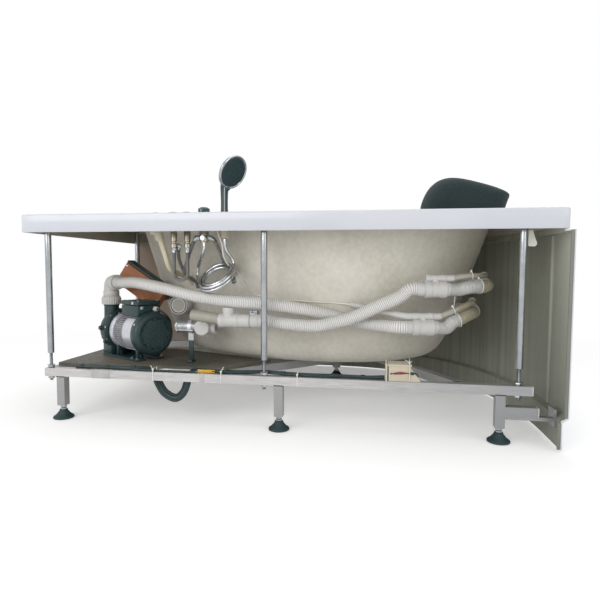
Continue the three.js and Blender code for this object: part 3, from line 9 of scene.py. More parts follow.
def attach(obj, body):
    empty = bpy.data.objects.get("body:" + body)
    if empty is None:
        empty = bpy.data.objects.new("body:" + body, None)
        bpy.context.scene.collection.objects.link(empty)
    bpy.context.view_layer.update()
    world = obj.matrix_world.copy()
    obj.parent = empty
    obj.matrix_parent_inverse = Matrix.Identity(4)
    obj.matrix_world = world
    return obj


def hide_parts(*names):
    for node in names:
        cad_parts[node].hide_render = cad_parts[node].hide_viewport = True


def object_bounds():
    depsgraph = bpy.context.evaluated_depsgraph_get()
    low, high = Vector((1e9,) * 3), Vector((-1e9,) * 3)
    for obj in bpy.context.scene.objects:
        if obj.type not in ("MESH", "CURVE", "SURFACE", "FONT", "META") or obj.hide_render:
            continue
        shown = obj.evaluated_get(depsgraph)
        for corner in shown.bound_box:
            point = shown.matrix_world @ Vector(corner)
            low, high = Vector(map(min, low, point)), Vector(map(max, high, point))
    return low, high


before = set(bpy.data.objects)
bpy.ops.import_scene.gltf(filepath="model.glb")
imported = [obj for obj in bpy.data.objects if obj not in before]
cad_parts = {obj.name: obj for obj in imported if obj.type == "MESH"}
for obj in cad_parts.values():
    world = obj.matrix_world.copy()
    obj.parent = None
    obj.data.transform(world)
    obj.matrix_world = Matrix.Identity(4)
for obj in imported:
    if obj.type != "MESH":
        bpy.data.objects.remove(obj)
cad_low, cad_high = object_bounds()

FULL = 2 * math.pi
UP = Vector((0, 0, 1))
WALLWARD = Vector((0, -1, 0))
INWARD = Vector((0, 1, 0))
ALONG = Vector((1, 0, 0))

# Sizes in millimetres that more than one piece follows

RIM_LENGTH, RIM_SIDE, RIM_DEPTH = 1500, 705, 1000
RIM_TOP, DECK_UNDER = 615, 609
RAIL_Y, RAIL_TOP, RAIL_LOW = 56.5, 155, 130
BOARD_TOP = 163.6
FITTINGS_Y = 90
BUTTON_X, HOT_X, COLD_X, DIVERTER_X = 384, 434, 476, 528
SHOWER_X, SHOWER_Y = 587, 100
RIB_PITCH = 5.2


# Millimetres along the long wall, away from it and up, as a point in metres
def at(x, y, z):
    return Vector((cad_low.x + x / 1000, cad_low.y + y / 1000, z / 1000))


def points(route):
    return [at(*point) for point in route]


# Camera at the photograph's viewing angle

def aim_camera(place, yaw, pitch, roll, lens):
    right = Vector((math.cos(yaw), -math.sin(yaw), 0))
    level = Vector((math.sin(yaw), math.cos(yaw), 0))
    forward = level * math.cos(pitch) + UP * math.sin(pitch)
    above = right.cross(forward)
    across = right * math.cos(roll) + above * math.sin(roll)
    upward = above * math.cos(roll) - right * math.sin(roll)
    data = bpy.data.cameras.new("camera")
    data.lens = lens
    data.sensor_width = 36
    camera = bpy.data.objects.new("camera", data)
    bpy.context.scene.collection.objects.link(camera)
    turn = Matrix((across, upward, -forward)).transposed().to_4x4()
    camera.matrix_world = Matrix.Translation(place) @ turn
    bpy.context.scene.camera = camera


# Place, turns in radians and lens, fitted to the edges of the deck, the rail, the posts and the feet
CAMERA_PLACE = (1032.9, -1302.7, 461.3)
CAMERA_YAW, CAMERA_PITCH, CAMERA_ROLL = -0.1561, -0.0640, 0.0045
LENS = 29.53
aim_camera(at(*CAMERA_PLACE), CAMERA_YAW, CAMERA_PITCH, CAMERA_ROLL, LENS)


# Colours are written as the eye sees them and stored as light

def linear(text, alpha=1.0):
    values = []
    for k in (0, 2, 4):
        share = int(text[k:k + 2], 16) / 255
        values.append(share / 12.92 if share <= 0.04045 else ((share + 0.055) / 1.055) ** 2.4)
    return (*values, alpha)


def add_node(tree, kind, inputs=None, **settings):
    made = tree.nodes.new("ShaderNode" + kind)
    for key, value in settings.items():
        setattr(made, key, value)
    for key, value in (inputs or {}).items():
        socket = made.inputs[key]
        if isinstance(value, bpy.types.NodeSocket):
            tree.links.new(value, socket)
        else:
            socket.default_value = value
    return made


# Blend of two colours by a factor socket
def blend_colours(tree, factor, first, second):
    made = add_node(tree, "Mix", {0: factor, 6: first, 7: second}, data_type="RGBA")
    return made.outputs[2]


def ramp(tree, factor, low, high):
    made = add_node(tree, "MapRange", {0: factor, 1: low, 2: high, 3: 0.0, 4: 1.0})
    return made.outputs[0]


def multiply(tree, first, second):
    return add_node(tree, "Math", {0: first, 1: second}, operation="MULTIPLY").outputs[0]


def plus(tree, first, second):
    return add_node(tree, "Math", {0: first, 1: second}, operation="ADD").outputs[0]


# Noise scale on metres for marks of a real size in millimetres
def marks(size):
    return 1000 / size


FINISH = {}


# A finish: mottled colour, uneven gloss, fine relief; mottle and grain in millimetres
def add_finish(
    name, colour, other, mottle, spread=(0.35, 0.7), gloss=(0.4, 0.55), relief=0.1, grain=16.7,
    metal=0.0, extra=None,
):
    made = bpy.data.materials.new(name)
    made.use_nodes = True
    tree = made.node_tree
    tree.nodes.clear()
    place = add_node(tree, "TexCoord").outputs["Object"]
    patches = add_node(tree, "TexNoise", {
        "Vector": place, "Scale": marks(mottle), "Detail": 5.0, "Roughness": 0.6,
    })
    fine = add_node(tree, "TexNoise", {"Vector": place, "Scale": marks(grain), "Detail": 3.0})
    share = ramp(tree, patches.outputs[0], *spread)
    tint = blend_colours(tree, share, linear(colour), linear(other))
    height = fine.outputs[0]
    if extra:
        tint, height = extra(tree, place, tint, height)
    rough = add_node(tree, "MapRange", {0: fine.outputs[0], 1: 0.3, 2: 0.7, 3: gloss[0], 4: gloss[1]})
    bump = add_node(tree, "Bump", {"Strength": relief, "Distance": 0.001, "Height": height})
    shader = add_node(tree, "BsdfPrincipled", {
        "Base Color": tint, "Roughness": rough.outputs[0], "Metallic": metal, "Normal": bump.outputs[0],
    })
    output = add_node(tree, "OutputMaterial")
    tree.links.new(shader.outputs[0], output.inputs[0])
    FINISH[name] = made


# Chopped glass strands in resin, 12 to 17 mm wide where they bundle and eleven times as long
def strands(tree, place, tint):
    heights = []
    for turn, width in ((0.5, 14.3), (2.1, 11.8), (3.6, 16.7)):
        spun = add_node(tree, "Mapping", {
            "Vector": place, "Rotation": (turn, turn * 1.7, turn), "Scale": (1.0, 0.09, 1.0),
        })
        lines = add_node(
            tree, "TexNoise", {"Vector": spun.outputs[0], "Scale": marks(width), "Detail": 2.0},
        )
        heights.append(lines.outputs[0])
    total = plus(tree, plus(tree, heights[0], heights[1]), heights[2])
    share = ramp(tree, total, 1.3, 1.75)
    tint = blend_colours(tree, multiply(tree, share, 0.35), tint, linear("e4e0d5"))
    clouds = add_node(tree, "TexNoise", {"Vector": place, "Scale": marks(312.5), "Detail": 3.0})
    dark = ramp(tree, clouds.outputs[0], 0.5, 0.8)
    return blend_colours(tree, multiply(tree, dark, 0.4), tint, linear("b5ad9a")), total


# Glass strands, with painted shade darkening the laminate towards the pump's end
def strands_and_painted_shade(tree, place, tint, height):
    tint, height = strands(tree, place, tint)
    along = add_node(tree, "SeparateXYZ", {0: place}).outputs[0]
    share = multiply(tree, ramp(tree, along, -0.3, -0.62), 0.75)
    return blend_colours(tree, share, tint, linear("8a8474")), height


# Upright streaks of brushed resin, 26 mm wide and 1.25 m long, with painted shade towards the wall, and
# painted light high up nearest the wall and at the left end
def streaks_painted_light_and_shade(tree, place, tint, height):
    drawn = add_node(tree, "Mapping", {"Vector": place, "Scale": (marks(26.3), marks(26.3), marks(1250))})
    lines = add_node(tree, "TexNoise", {"Vector": drawn.outputs[0], "Scale": 1.0, "Detail": 4.0})
    share = ramp(tree, lines.outputs[0], 0.35, 0.7)
    tint = blend_colours(tree, multiply(tree, share, 0.4), tint, linear("6f7065"))
    parts = add_node(tree, "SeparateXYZ", {0: place})
    near_end = ramp(tree, parts.outputs[1], -0.05, -0.34)
    tint = blend_colours(tree, multiply(tree, near_end, 0.85), tint, linear("8a8c80"))
    lit = ramp(tree, parts.outputs[1], -0.3, -0.48)
    upper = multiply(tree, ramp(tree, parts.outputs[2], 0.12, 0.6), lit)
    tint = blend_colours(tree, multiply(tree, upper, 0.9), tint, linear("d4d6ca"))
    left_end = ramp(tree, parts.outputs[0], -0.5, -0.68)
    return blend_colours(tree, multiply(tree, left_end, 0.8), tint, linear("c2aa9c")), height


# Wires woven both ways round a hose, 4.49 mm from crossing to crossing and six to a turn
def woven(tree, place, tint, height):
    flat = add_node(tree, "UVMap").outputs[0]
    parts = add_node(tree, "SeparateXYZ", {0: flat})
    waves = []
    for sign in (1.0, -1.0):
        lengthwise = multiply(tree, parts.outputs[0], FULL * marks(4.488))
        slant = plus(tree, lengthwise, multiply(tree, parts.outputs[1], sign * FULL * 6))
        waves.append(add_node(tree, "Math", {0: slant}, operation="SINE").outputs[0])
    weave = add_node(tree, "Math", {0: waves[0], 1: waves[1]}, operation="MAXIMUM").outputs[0]
    share = ramp(tree, weave, -0.2, 0.9)
    return blend_colours(tree, share, linear("3a3c3a"), tint), weave


# Rings along a reinforced hose, at its pitch
def ringed(tree, place, tint, height):
    flat = add_node(tree, "UVMap").outputs[0]
    along = add_node(tree, "SeparateXYZ", {0: flat}).outputs[0]
    turns = multiply(tree, along, FULL * marks(RIB_PITCH))
    wave = add_node(tree, "Math", {0: turns}, operation="SINE").outputs[0]
    share = ramp(tree, wave, -1.0, 0.6)
    return blend_colours(tree, share, linear("b3b1ad"), tint), wave


# Creases round the 3 mm cells of a foam's moulded skin
def skin_grain(tree, place, tint, height):
    cells = add_node(
        tree, "TexVoronoi", {"Vector": place, "Scale": marks(3.125)}, feature="DISTANCE_TO_EDGE",
    )
    share = ramp(tree, cells.outputs[0], 0.0, 0.12)
    return blend_colours(tree, share, linear("142426"), tint), share


# Brush marks along the tube, 48 mm long and 1.6 mm apart
def brushed(tree, place, tint, height):
    drawn = add_node(tree, "Mapping", {"Vector": place, "Scale": (marks(47.6), marks(1.587), marks(1.587))})
    lines = add_node(tree, "TexNoise", {"Vector": drawn.outputs[0], "Scale": 1.0, "Detail": 4.0})
    share = ramp(tree, lines.outputs[0], 0.3, 0.75)
    return blend_colours(tree, multiply(tree, share, 0.45), tint, linear("6f7274")), lines.outputs[0]


# Brushed rail, with painted shade on its welded legs and towards its far end
def brushed_with_painted_shade(tree, place, tint, height):
    tint, height = brushed(tree, place, tint, height)
    parts = add_node(tree, "SeparateXYZ", {0: place})
    legs = ramp(tree, parts.outputs[2], RAIL_LOW / 1000, (RAIL_LOW - 6) / 1000)
    far_end = ramp(tree, parts.outputs[0], 0.2, 0.62)
    tint = blend_colours(tree, multiply(tree, legs, 0.75), tint, linear("8f9091"))
    return blend_colours(tree, multiply(tree, far_end, 0.65), tint, linear("8f9194")), height


# Acrylic sheet drawn over a mould: an even cool white with soft, wide highlights
add_finish("formed_acrylic", "d4d7dd", "cdd0d7", 333, gloss=(0.16, 0.26), relief=0.02, grain=40)

# Glass strands sprayed on with resin and rolled: matt beige, clouded, with paler strands
add_finish(
    "sprayed_fibreglass", "d6d2c8", "c6c2b5", 200, gloss=(0.5, 0.72), relief=0.5, grain=11.1,
    extra=strands_and_painted_shade,
)

# Laminate brushed on by hand at the apron's back: dull, greenish and streaked
add_finish(
    "brushed_laminate", "c2c4b6", "b2b4a6", 500, gloss=(0.5, 0.7), relief=0.15, extra=streaks_painted_light_and_shade,
)

# Sawn edge of that laminate: a flat dark grey
add_finish("sawn_laminate", "83847a", "777870", 250, gloss=(0.5, 0.7))

# Square tube of brushed stainless steel in full light: pale, with fine lines along it
add_finish(
    "bright_brushed_steel", "d2cfce", "c3c1c0", 111, gloss=(0.3, 0.42), relief=0.04, metal=0.35,
    extra=brushed_with_painted_shade,
)

# Rims and bores of the fan cover's holes, coloured paler than the black plastic
add_finish("pale_vent_rim", "5d7072", "4b5e60", 50)

# The same brushed tube away from the light: a middle grey
add_finish(
    "brushed_steel", "a9a8a8", "999999", 111, gloss=(0.3, 0.42), relief=0.04, metal=0.5,
    extra=brushed,
)

# Zinc-plated posts, screws and nuts: bluish, nearly a mirror, faintly clouded
add_finish(
    "zinc_plate", "adb1b4", "9ca1a4", 41.7, gloss=(0.16, 0.26), relief=0.03, metal=0.95,
)

# Weld bead, left as it cooled: dark, rippled and scaly
add_finish(
    "weld_bead", "4a4c4b", "6d6a66", 12.5, gloss=(0.4, 0.6), relief=0.6, grain=3.33, metal=0.7,
)

# Film-faced board: brown-grey and blotchy, with a dull sheen
add_finish("film_faced_board", "6f695d", "45473f", 200, gloss=(0.5, 0.7), relief=0.3, grain=8.33)

# Rubber from a mould: nearly black, matt and slightly grainy
add_finish("moulded_rubber", "223a3c", "1b2f31", 55.6, gloss=(0.6, 0.75), relief=0.25, grain=4.17)

# Black plastic from a textured mould: a broken, half-matt sheen
add_finish(
    "textured_plastic", "213a3c", "1a3032", 71.4, gloss=(0.34, 0.5), relief=0.2,
    grain=3.125,
)

# Soft sheath of extruded cable: black and smooth, with a long highlight
add_finish("cable_sheath", "203638", "182b2d", 50, gloss=(0.38, 0.5), grain=5)

# Sand-cast aluminium: light grey, rough and pitted
add_finish(
    "cast_aluminium", "b9b8bb", "98989b", 33.3, gloss=(0.36, 0.55), relief=0.5, grain=2.38,
    metal=0.8,
)

# Rolled aluminium sheet and machined faces: smooth, flat and pale
add_finish(
    "rolled_aluminium", "d3d4db", "c4c5cd", 33.3, gloss=(0.3, 0.4), relief=0.05, metal=0.5,
)

# Hard pipe fittings from a polished mould: off-white with a mild shine
add_finish("moulded_pvc", "cbcac7", "c1c0bc", 143, gloss=(0.3, 0.42), relief=0.05, grain=25)

# Hose of soft plastic over a hard coil: whitish, with a ring at each turn
add_finish(
    "ribbed_hose", "ebeae7", "dedcd9", 167, gloss=(0.38, 0.5), relief=0.4, extra=ringed,
)

# Hose with a steel wire that shows through its wall: greyer and glossier
add_finish("wire_hose", "b9bab7", "a6a7a3", 111, gloss=(0.2, 0.34), relief=0.45, extra=ringed)

# Clear hose gone beige: glossy, slightly uneven
add_finish(
    "aged_clear_hose", "b3ab94", "98917b", 83.3, gloss=(0.16, 0.3), relief=0.2, grain=11.1,
)

# Extruded pipe under the shell's shade: a dull, warm grey
add_finish("extruded_pvc", "a9a69b", "989489", 111, gloss=(0.4, 0.55), relief=0.06, grain=25)

# Chrome over polished plastic or brass: a clean mirror
add_finish(
    "chrome_plate", "b4b7b9", "a6aaac", 200, gloss=(0.05, 0.12), relief=0.01, grain=33.3,
    metal=1.0,
)

# Chrome that mirrors the dark side of the room: deep grey
add_finish(
    "shaded_chrome", "4f5b5d", "3f4b4d", 125, gloss=(0.05, 0.1), relief=0.01, grain=33.3,
    metal=1.0,
)

# Turned valve brass, nickelled thinly: greyish yellow with a soft shine
add_finish("turned_brass", "a8a192", "8c8576", 33.3, gloss=(0.2, 0.36), grain=6.25, metal=0.9)

# Stainless wire braided over a hose: bright wires, dark gaps
add_finish(
    "wire_braid", "a8a8a6", "929290", 16.7, gloss=(0.25, 0.4), relief=0.9, metal=0.8, extra=woven,
)

# Steel strip wound into a hose and polished: bright bands and dark seams
add_finish("wound_strip", "d6d8da", "b9bcbe", 25, gloss=(0.12, 0.22), metal=0.95)

# Cream plastic housing from a mould: warm and half glossy
add_finish(
    "cream_plastic", "cfc6b2", "beb49d", 111, gloss=(0.36, 0.48), relief=0.08, grain=11.1,
)

# Soft cream hose: the same colour, smoother
add_finish("cream_hose", "d2c9ae", "c0b698", 83.3, gloss=(0.25, 0.4))

# Brown housing of flecked plastic: warm, matt, unevenly coloured
add_finish(
    "flecked_brown_plastic", "b9784a", "a0643a", 45.5, (0.3, 0.65), (0.4, 0.6), relief=0.4,
    grain=8.33,
)

# Coloured film of a label: flat yellow
add_finish("label_film", "d8aa2c", "c3952a", 50, gloss=(0.4, 0.5), relief=0.05)

# Sheath of thin wire: dark red with a mild shine
add_finish("red_sheath", "962f3b", "7d2630", 50, gloss=(0.35, 0.5), relief=0.05)

# Foil tape, pressed on by hand: pale grey, faintly dented
add_finish("foil_tape", "b9b7b6", "a7a5a3", 62.5, gloss=(0.3, 0.5), relief=0.2)

# White nylon of ties, clips and caps: milky and smooth
add_finish("white_nylon", "e9e8e4", "dcdad4", 62.5, gloss=(0.35, 0.5), relief=0.05)

# Skin that foam forms against its mould: nearly black, matt, finely creased
add_finish(
    "foam_skin", "162b2d", "112426", 83.3, gloss=(0.72, 0.88), relief=0.4, grain=5,
    extra=skin_grain,
)

# Thin polythene tube: white, smooth and half glossy
add_finish("polythene", "e4e2da", "d2cfc4", 62.5, gloss=(0.3, 0.4), relief=0.05)


# Value at t on the straight run between two others
def between(first, second, start, end, t):
    span = end - start
    return first * ((end - t) / span) + second * ((t - start) / span)


# Smooth line through points, tightened where they lie close together
def smooth_line(route, step):
    ends = [route[0] * 2 - route[1], *route, route[-1] * 2 - route[-2]]
    line = []
    for k in range(len(route) - 1):
        p = ends[k:k + 4]
        knots = [0.0]
        for a, b in zip(p, p[1:]):
            knots.append(knots[-1] + max(1e-5, (b - a).length) ** 0.5)
        count = max(2, math.ceil((p[2] - p[1]).length / step))
        for i in range(count):
            t = knots[1] + (knots[2] - knots[1]) * i / count
            first = [between(p[j], p[j + 1], knots[j], knots[j + 1], t) for j in range(3)]
            second = [between(first[j], first[j + 1], knots[j], knots[j + 2], t) for j in range(2)]
            line.append(between(second[0], second[1], knots[1], knots[2], t))
    line.append(route[-1].copy())
    return line


# Points at an even distance along a line
def evenly(line, spacing):
    lengths = [0.0]
    for a, b in zip(line, line[1:]):
        lengths.append(lengths[-1] + (b - a).length)
    count = max(1, round(lengths[-1] / spacing))
    out = []
    k = 0
    for i in range(count + 1):
        want = lengths[-1] * i / count
        while k < len(line) - 2 and lengths[k + 1] < want:
            k += 1
        share = (want - lengths[k]) / max(1e-9, lengths[k + 1] - lengths[k])
        out.append(line[k].lerp(line[k + 1], min(1.0, share)))
    return out


def length_of(line):
    return sum((b - a).length for a, b in zip(line, line[1:]))


# Frames carried along a line without twisting
def frames_along(line):
    out = []
    side = None
    for i, point in enumerate(line):
        tangent = (line[min(i + 1, len(line) - 1)] - line[max(i - 1, 0)]).normalized()
        if side is None:
            side = tangent.cross(UP if abs(tangent.z) < 0.9 else ALONG)
        side = (side - tangent * side.dot(tangent)).normalized()
        out.append((point, side, tangent.cross(side)))
    return out


# Points on a circle about a place, in the plane of two directions
def ring_round(place, side, other, radius, count):
    turns = [FULL * i / count for i in range(count)]
    return [place + (side * math.cos(turn) + other * math.sin(turn)) * radius for turn in turns]


# Axes for a shape turned about a direction
def axes_along(direction):
    forward = direction.normalized()
    side = forward.cross(UP if abs(forward.z) < 0.9 else ALONG).normalized()
    return side, forward.cross(side), forward


# Scratch mesh through which a part joins its piece
JOINING = bpy.data.meshes.new("joining")


def new_part():
    part = bmesh.new()
    part.loops.layers.uv.new("UVMap")
    return part


def neighbours(vert):
    return [edge.other_vert(vert) for edge in vert.link_edges]


# Lengthwise and round coordinates for the faces between two rings
def lay_flat(part, faces, last, front, low, high):
    flat = part.loops.layers.uv.active
    count = len(front)
    spots = {vert: (low, i) for i, vert in enumerate(last)}
    spots.update({vert: (high, i) for i, vert in enumerate(front)})
    for face in faces:
        steps = [spots[loop.vert][1] for loop in face.loops]
        across_seam = max(steps) - min(steps) > 1
        for loop, step in zip(face.loops, steps):
            share = 1.0 if across_seam and step == 0 else step / count
            loop[flat].uv = (spots[loop.vert][0], share)


# One piece in the making: parts shaped by mesh operators, then joined and welded
class Form:
    def __init__(self):
        self.mesh = new_part()
        self.finishes = []

    # Join a finished part to the piece, in one finish
    def take(self, part, finish):
        if finish not in self.finishes:
            self.finishes.append(finish)
        for face in part.faces:
            face.material_index = self.finishes.index(finish)
        part.to_mesh(JOINING)
        part.free()
        self.mesh.from_mesh(JOINING)

    # First ring extruded to each of the next; ends closed by flat faces, or the last joined to the first
    def rings(self, rings, finish, caps=(True, True), loop=False, lengths=None, shut=True):
        part = new_part()
        front = [part.verts.new(point) for point in rings[0]]
        edges = [part.edges.new(pair) for pair in zip(front, front[1:])]
        if shut:
            edges.append(part.edges.new((front[-1], front[0])))
        if caps[0] and not loop:
            part.faces.new(front)
        for k, ring in enumerate([*rings[1:], *(rings[:1] if loop else [])], 1):
            grown = bmesh.ops.extrude_edge_only(part, edges=edges)["geom"]
            fresh = {item for item in grown if isinstance(item, bmesh.types.BMVert)}
            last = front
            front = [next(v for v in neighbours(old) if v in fresh) for old in last]
            for vert, point in zip(front, ring):
                vert.co = point
            edges = [item for item in grown if isinstance(item, bmesh.types.BMEdge)]
            edges = [edge for edge in edges if fresh.issuperset(edge.verts)]
            if lengths and k < len(lengths):
                faces = [item for item in grown if isinstance(item, bmesh.types.BMFace)]
                lay_flat(part, faces, last, front, lengths[k - 1], lengths[k])
        if caps[1] and not loop:
            part.faces.new(front)
        self.take(part, finish)

    # Profile of (radius, distance) pairs in millimetres spun about an axis
    def lathe(self, profile, origin, direction, finish, sides=32, loop=False):
        side, other, forward = axes_along(Vector(direction))
        part = new_part()
        outline = [
            part.verts.new(origin + (forward * distance + side * radius) / 1000)
            for radius, distance in profile
        ]
        edges = [part.edges.new(pair) for pair in zip(outline, outline[1:])]
        if loop:
            edges.append(part.edges.new((outline[-1], outline[0])))
        bmesh.ops.spin(
            part, geom=outline + edges, cent=origin, axis=forward, dvec=(0, 0, 0), angle=FULL, steps=sides,
            use_merge=True,
        )
        bmesh.ops.remove_doubles(part, verts=part.verts, dist=0.0000005)
        if not loop:
            bmesh.ops.holes_fill(part, edges=[edge for edge in part.edges if edge.is_boundary], sides=0)
        self.take(part, finish)

    # Plain round bar
    def bar(self, radius, length, origin, direction, finish, sides=32):
        self.lathe([(0, 0), (radius, 0), (radius, length), (0, length)], origin, direction, finish, sides)

    # Hexagon nut with its corners taken off
    def nut(self, origin, direction, radius, height, finish, bore=0.0):
        profile = [
            (bore, 0), (radius * 0.9, 0), (radius, height * 0.14), (radius, height * 0.86),
            (radius * 0.9, height), (bore, height),
        ]
        self.lathe(profile, origin, direction, finish, sides=6, loop=bore > 0)

    # Turned shape whose marked rings have grip ribs round them
    def grip(self, profile, origin, direction, finish, ribs, depth):
        side, other, forward = axes_along(Vector(direction))
        sides = ribs * 4
        rings = []
        for radius, distance, ribbed in profile:
            ring = []
            for i in range(sides):
                angle = FULL * i / sides
                reach = max(0.01, radius - (depth if ribbed and i % 4 > 1 else 0))
                around = side * math.cos(angle) + other * math.sin(angle)
                ring.append(origin + forward * (distance / 1000) + around * (reach / 1000))
            rings.append(ring)
        self.rings(rings, finish)

    # Screw thread as close rings
    def thread(self, origin, direction, radius, length, finish, pitch=1.6, sides=16):
        profile = [(0, 0)]
        count = max(2, round(length / pitch))
        for k in range(count):
            start = length * k / count
            profile += [(radius * 0.86, start), (radius, start + length / count / 2)]
        profile += [(radius * 0.86, length), (0, length)]
        self.lathe(profile, origin, direction, finish, sides=sides)

    # Round tube swept along a line, bored, or swelling from ring to ring
    def tube(self, line, radius, finish, sides=16, bore=0.0, swell=None, stretch=1.0):
        rings = []
        inner = []
        lengths = [0.0]
        for k, (point, side, other) in enumerate(frames_along(line)):
            size = (radius + (swell(k) if swell else 0.0)) / 1000
            ring = ring_round(point, side, other, size, sides)
            rings.append(ring)
            if bore:
                inner.append([point + (v - point) * (bore / 1000 / size) for v in ring])
            if k:
                lengths.append(lengths[-1] + (line[k] - line[k - 1]).length * stretch)
        if bore:
            self.rings(rings + inner[::-1], finish, loop=True, lengths=lengths)
        else:
            self.rings(rings, finish, lengths=lengths)

    # Box with rounded edges, by its low corner and size in millimetres, in any axes
    def box(self, low, size, finish, round_by=1.0, matrix=None, segments=2):
        part = new_part()
        middle = Vector(low) + Vector(size) / 2
        bmesh.ops.create_cube(
            part, size=1.0, matrix=Matrix.Translation(middle) @ Matrix.Diagonal((*size, 1)),
        )
        if round_by:
            bmesh.ops.bevel(
                part, geom=part.edges[:], offset=round_by, segments=segments, profile=0.5, affect="EDGES",
                material=-1,
            )
        bmesh.ops.transform(part, matrix=matrix or PLAIN, verts=part.verts)
        self.take(part, finish)

    # Weld the piece, put it in the scene under its body and hide the nodes it stands for
    def make(self, name, body="bath", sharp=38, replaces=(), slot=None):
        bmesh.ops.remove_doubles(self.mesh, verts=self.mesh.verts, dist=0.000001)
        bmesh.ops.recalc_face_normals(self.mesh, faces=self.mesh.faces)
        mesh = bpy.data.meshes.new(name)
        self.mesh.to_mesh(mesh)
        self.mesh.free()
        for finish in self.finishes:
            mesh.materials.append(FINISH[finish])
        mesh.shade_smooth()
        mesh.set_sharp_from_angle(angle=math.radians(sharp))
        made = bpy.data.objects.new(name, mesh)
        bpy.context.scene.collection.objects.link(made)
        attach(made, body)
        if replaces:
            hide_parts(*replaces)
        return made


# From millimetres in the row's axes to metres in the frame
PLAIN = Matrix.Translation(at(0, 0, 0)) @ Matrix.Scale(0.001, 4)


def placed(x, y, z, turn=0.0, axis="Z"):
    return PLAIN @ Matrix.Translation((x, y, z)) @ Matrix.Rotation(turn, 4, axis)


# Shower hose: a drop out of the sleeve, loops in two layers, and a rise to the diverter

LOOP_CENTRE = Vector((556, 114, 441))
LOOP_RADIUS = 60
LOOP_STEP = 10.6
LAYER_TURNS = 1.75
HOSE_RADIUS = 5


DROP = [
    (587, 100, 536), (588, 101.5, 524), (592, 108, 510), (597.5, 117.5, 498), (603, 124.6, 487),
    (607, 126.4, 477),
]


def shower_hose_line():
    tilt, roll = math.radians(36), math.radians(-22)
    spin = Matrix.Rotation(roll, 3, "Y")
    axis = spin @ Vector((0, -math.sin(tilt), math.cos(tilt)))
    across = spin @ ALONG
    above = axis.cross(across)
    loops = []
    count = round(2 * LAYER_TURNS * 48)
    for k in range(count + 1):
        turns = k / 48
        radius = LOOP_RADIUS - LOOP_STEP * (LAYER_TURNS - abs(turns - LAYER_TURNS))
        share = min(1.0, max(0.0, (turns - LAYER_TURNS + 0.25) / 0.5))
        drop = share * share * (3 - 2 * share) * LOOP_STEP
        angle = -turns * FULL
        around = across * (radius * math.cos(angle)) + above * (radius * math.sin(angle))
        loops.append(at(*(LOOP_CENTRE + around - axis * drop)))
    heading = (loops[2] - loops[0]).normalized()
    start = [at(SHOWER_X, SHOWER_Y, 548.7), *points(DROP)]
    lead = loops[0] - heading * 0.0103
    end = points([
        (490, 141, 424), (484, 151, 440), (486, 150, 458), (494, 139, 475), (509, 118, 492), (522, 97, 509),
        (528, 90, 522), (528, 90, 535.7),
    ])
    leaving = (loops[-1] - loops[-2]).normalized()
    drop_line = smooth_line([*start, lead, loops[0]], 0.004)
    rise_line = smooth_line([loops[-1], loops[-1] + leaving * 0.015, *end], 0.004)
    return drop_line + loops[1:] + rise_line[1:]


hose_line = evenly(shower_hose_line(), 0.0014)
hose_form = Form()
hose_form.tube(hose_line, HOSE_RADIUS - 0.6, "wound_strip", sides=14, swell=lambda k: (0.0, 0.6)[k % 2])
shower_hose = hose_form.make("shower_hose", sharp=80, replaces=("shower_hose_drop", "shower_hose_coil"))


# Acrylic shell: basin, deck and turned-down edge, with bare glass fibre underneath

RIM_LIP, RIM_WALL, RIM_ROUND, RIM_CORNER = 52, 6, 5, 12
BASIN_X, BASIN_Y, BASIN_LONG, BASIN_SHORT, BASIN_BASE, BASIN_POWER = 765, 516, 642, 386, 164, 2.25
BASIN_TILT = math.radians(-13)
BASIN_SHARES = [
    (0.61, 0.65, 0), (0.705, 0.745, 0.03), (0.75, 0.79, 0.075), (0.785, 0.82, 0.15),
    (0.822, 0.855, 0.26), (0.862, 0.885, 0.42), (0.928, 0.94, 0.7), (1, 1, 1),
]
STATIONS = 220


def bezier(p0, p1, p2, p3, count):
    out = []
    for i in range(count + 1):
        t = i / count
        u = 1 - t
        shares = (u ** 3, 3 * u * u * t, 3 * u * t * t, t ** 3)
        out.append(
            tuple(sum(share * value for share, value in zip(shares, row)) for row in zip(p0, p1, p2, p3))
        )
    return out


def front_curve(out, count=48):
    right, crown, start = RIM_LENGTH + out, RIM_DEPTH + out, 140
    middle, rise = RIM_LENGTH * 0.55, RIM_DEPTH + out - 140
    first = bezier(
        (right, start), (right - RIM_CORNER * 0.3, start + rise * 0.64),
        (middle + (right - middle) * 0.64, crown), (middle, crown), count,
    )
    second = bezier(
        (middle, crown), (middle - middle * 0.55, crown),
        (middle * 0.28, RIM_SIDE + out + (crown - RIM_SIDE) * 0.82), (0, RIM_SIDE + out), count,
    )
    return first + second[1:]


def deck_outline(inset):
    near, right, corner = inset, RIM_LENGTH - inset, RIM_CORNER
    line = []
    for i in range(5):
        t = i / 4
        line.append((inset + corner * (t * t), near + corner * (1 - t) ** 2))
    for i in range(5):
        t = i / 4
        line.append((right - corner * (1 - t) ** 2, near + corner * t * t))
    line += [p for p in front_curve(-inset) if p[0] >= inset]
    line.append((inset, RIM_SIDE - inset))
    return line


def edge_at(outline, angle):
    dx, dy = math.cos(angle), math.sin(angle)
    best = 0
    for (px, py), (qx, qy) in zip(outline, outline[1:] + outline[:1]):
        ex, ey = qx - px, qy - py
        cross = dx * ey - dy * ex
        if abs(cross) < 1e-9:
            continue
        vx, vy = px - BASIN_X, py - BASIN_Y
        along = (vx * ey - vy * ex) / cross
        share = (vx * dy - vy * dx) / cross
        if along > best and -1e-9 <= share <= 1 + 1e-9:
            best = along
    return best


def basin_radius(angle, long_share, short_share):
    turned = angle - BASIN_TILT
    along = abs(math.cos(turned) / (BASIN_LONG * long_share)) ** BASIN_POWER
    across = abs(math.sin(turned) / (BASIN_SHORT * short_share)) ** BASIN_POWER
    return (along + across) ** (-1 / BASIN_POWER)


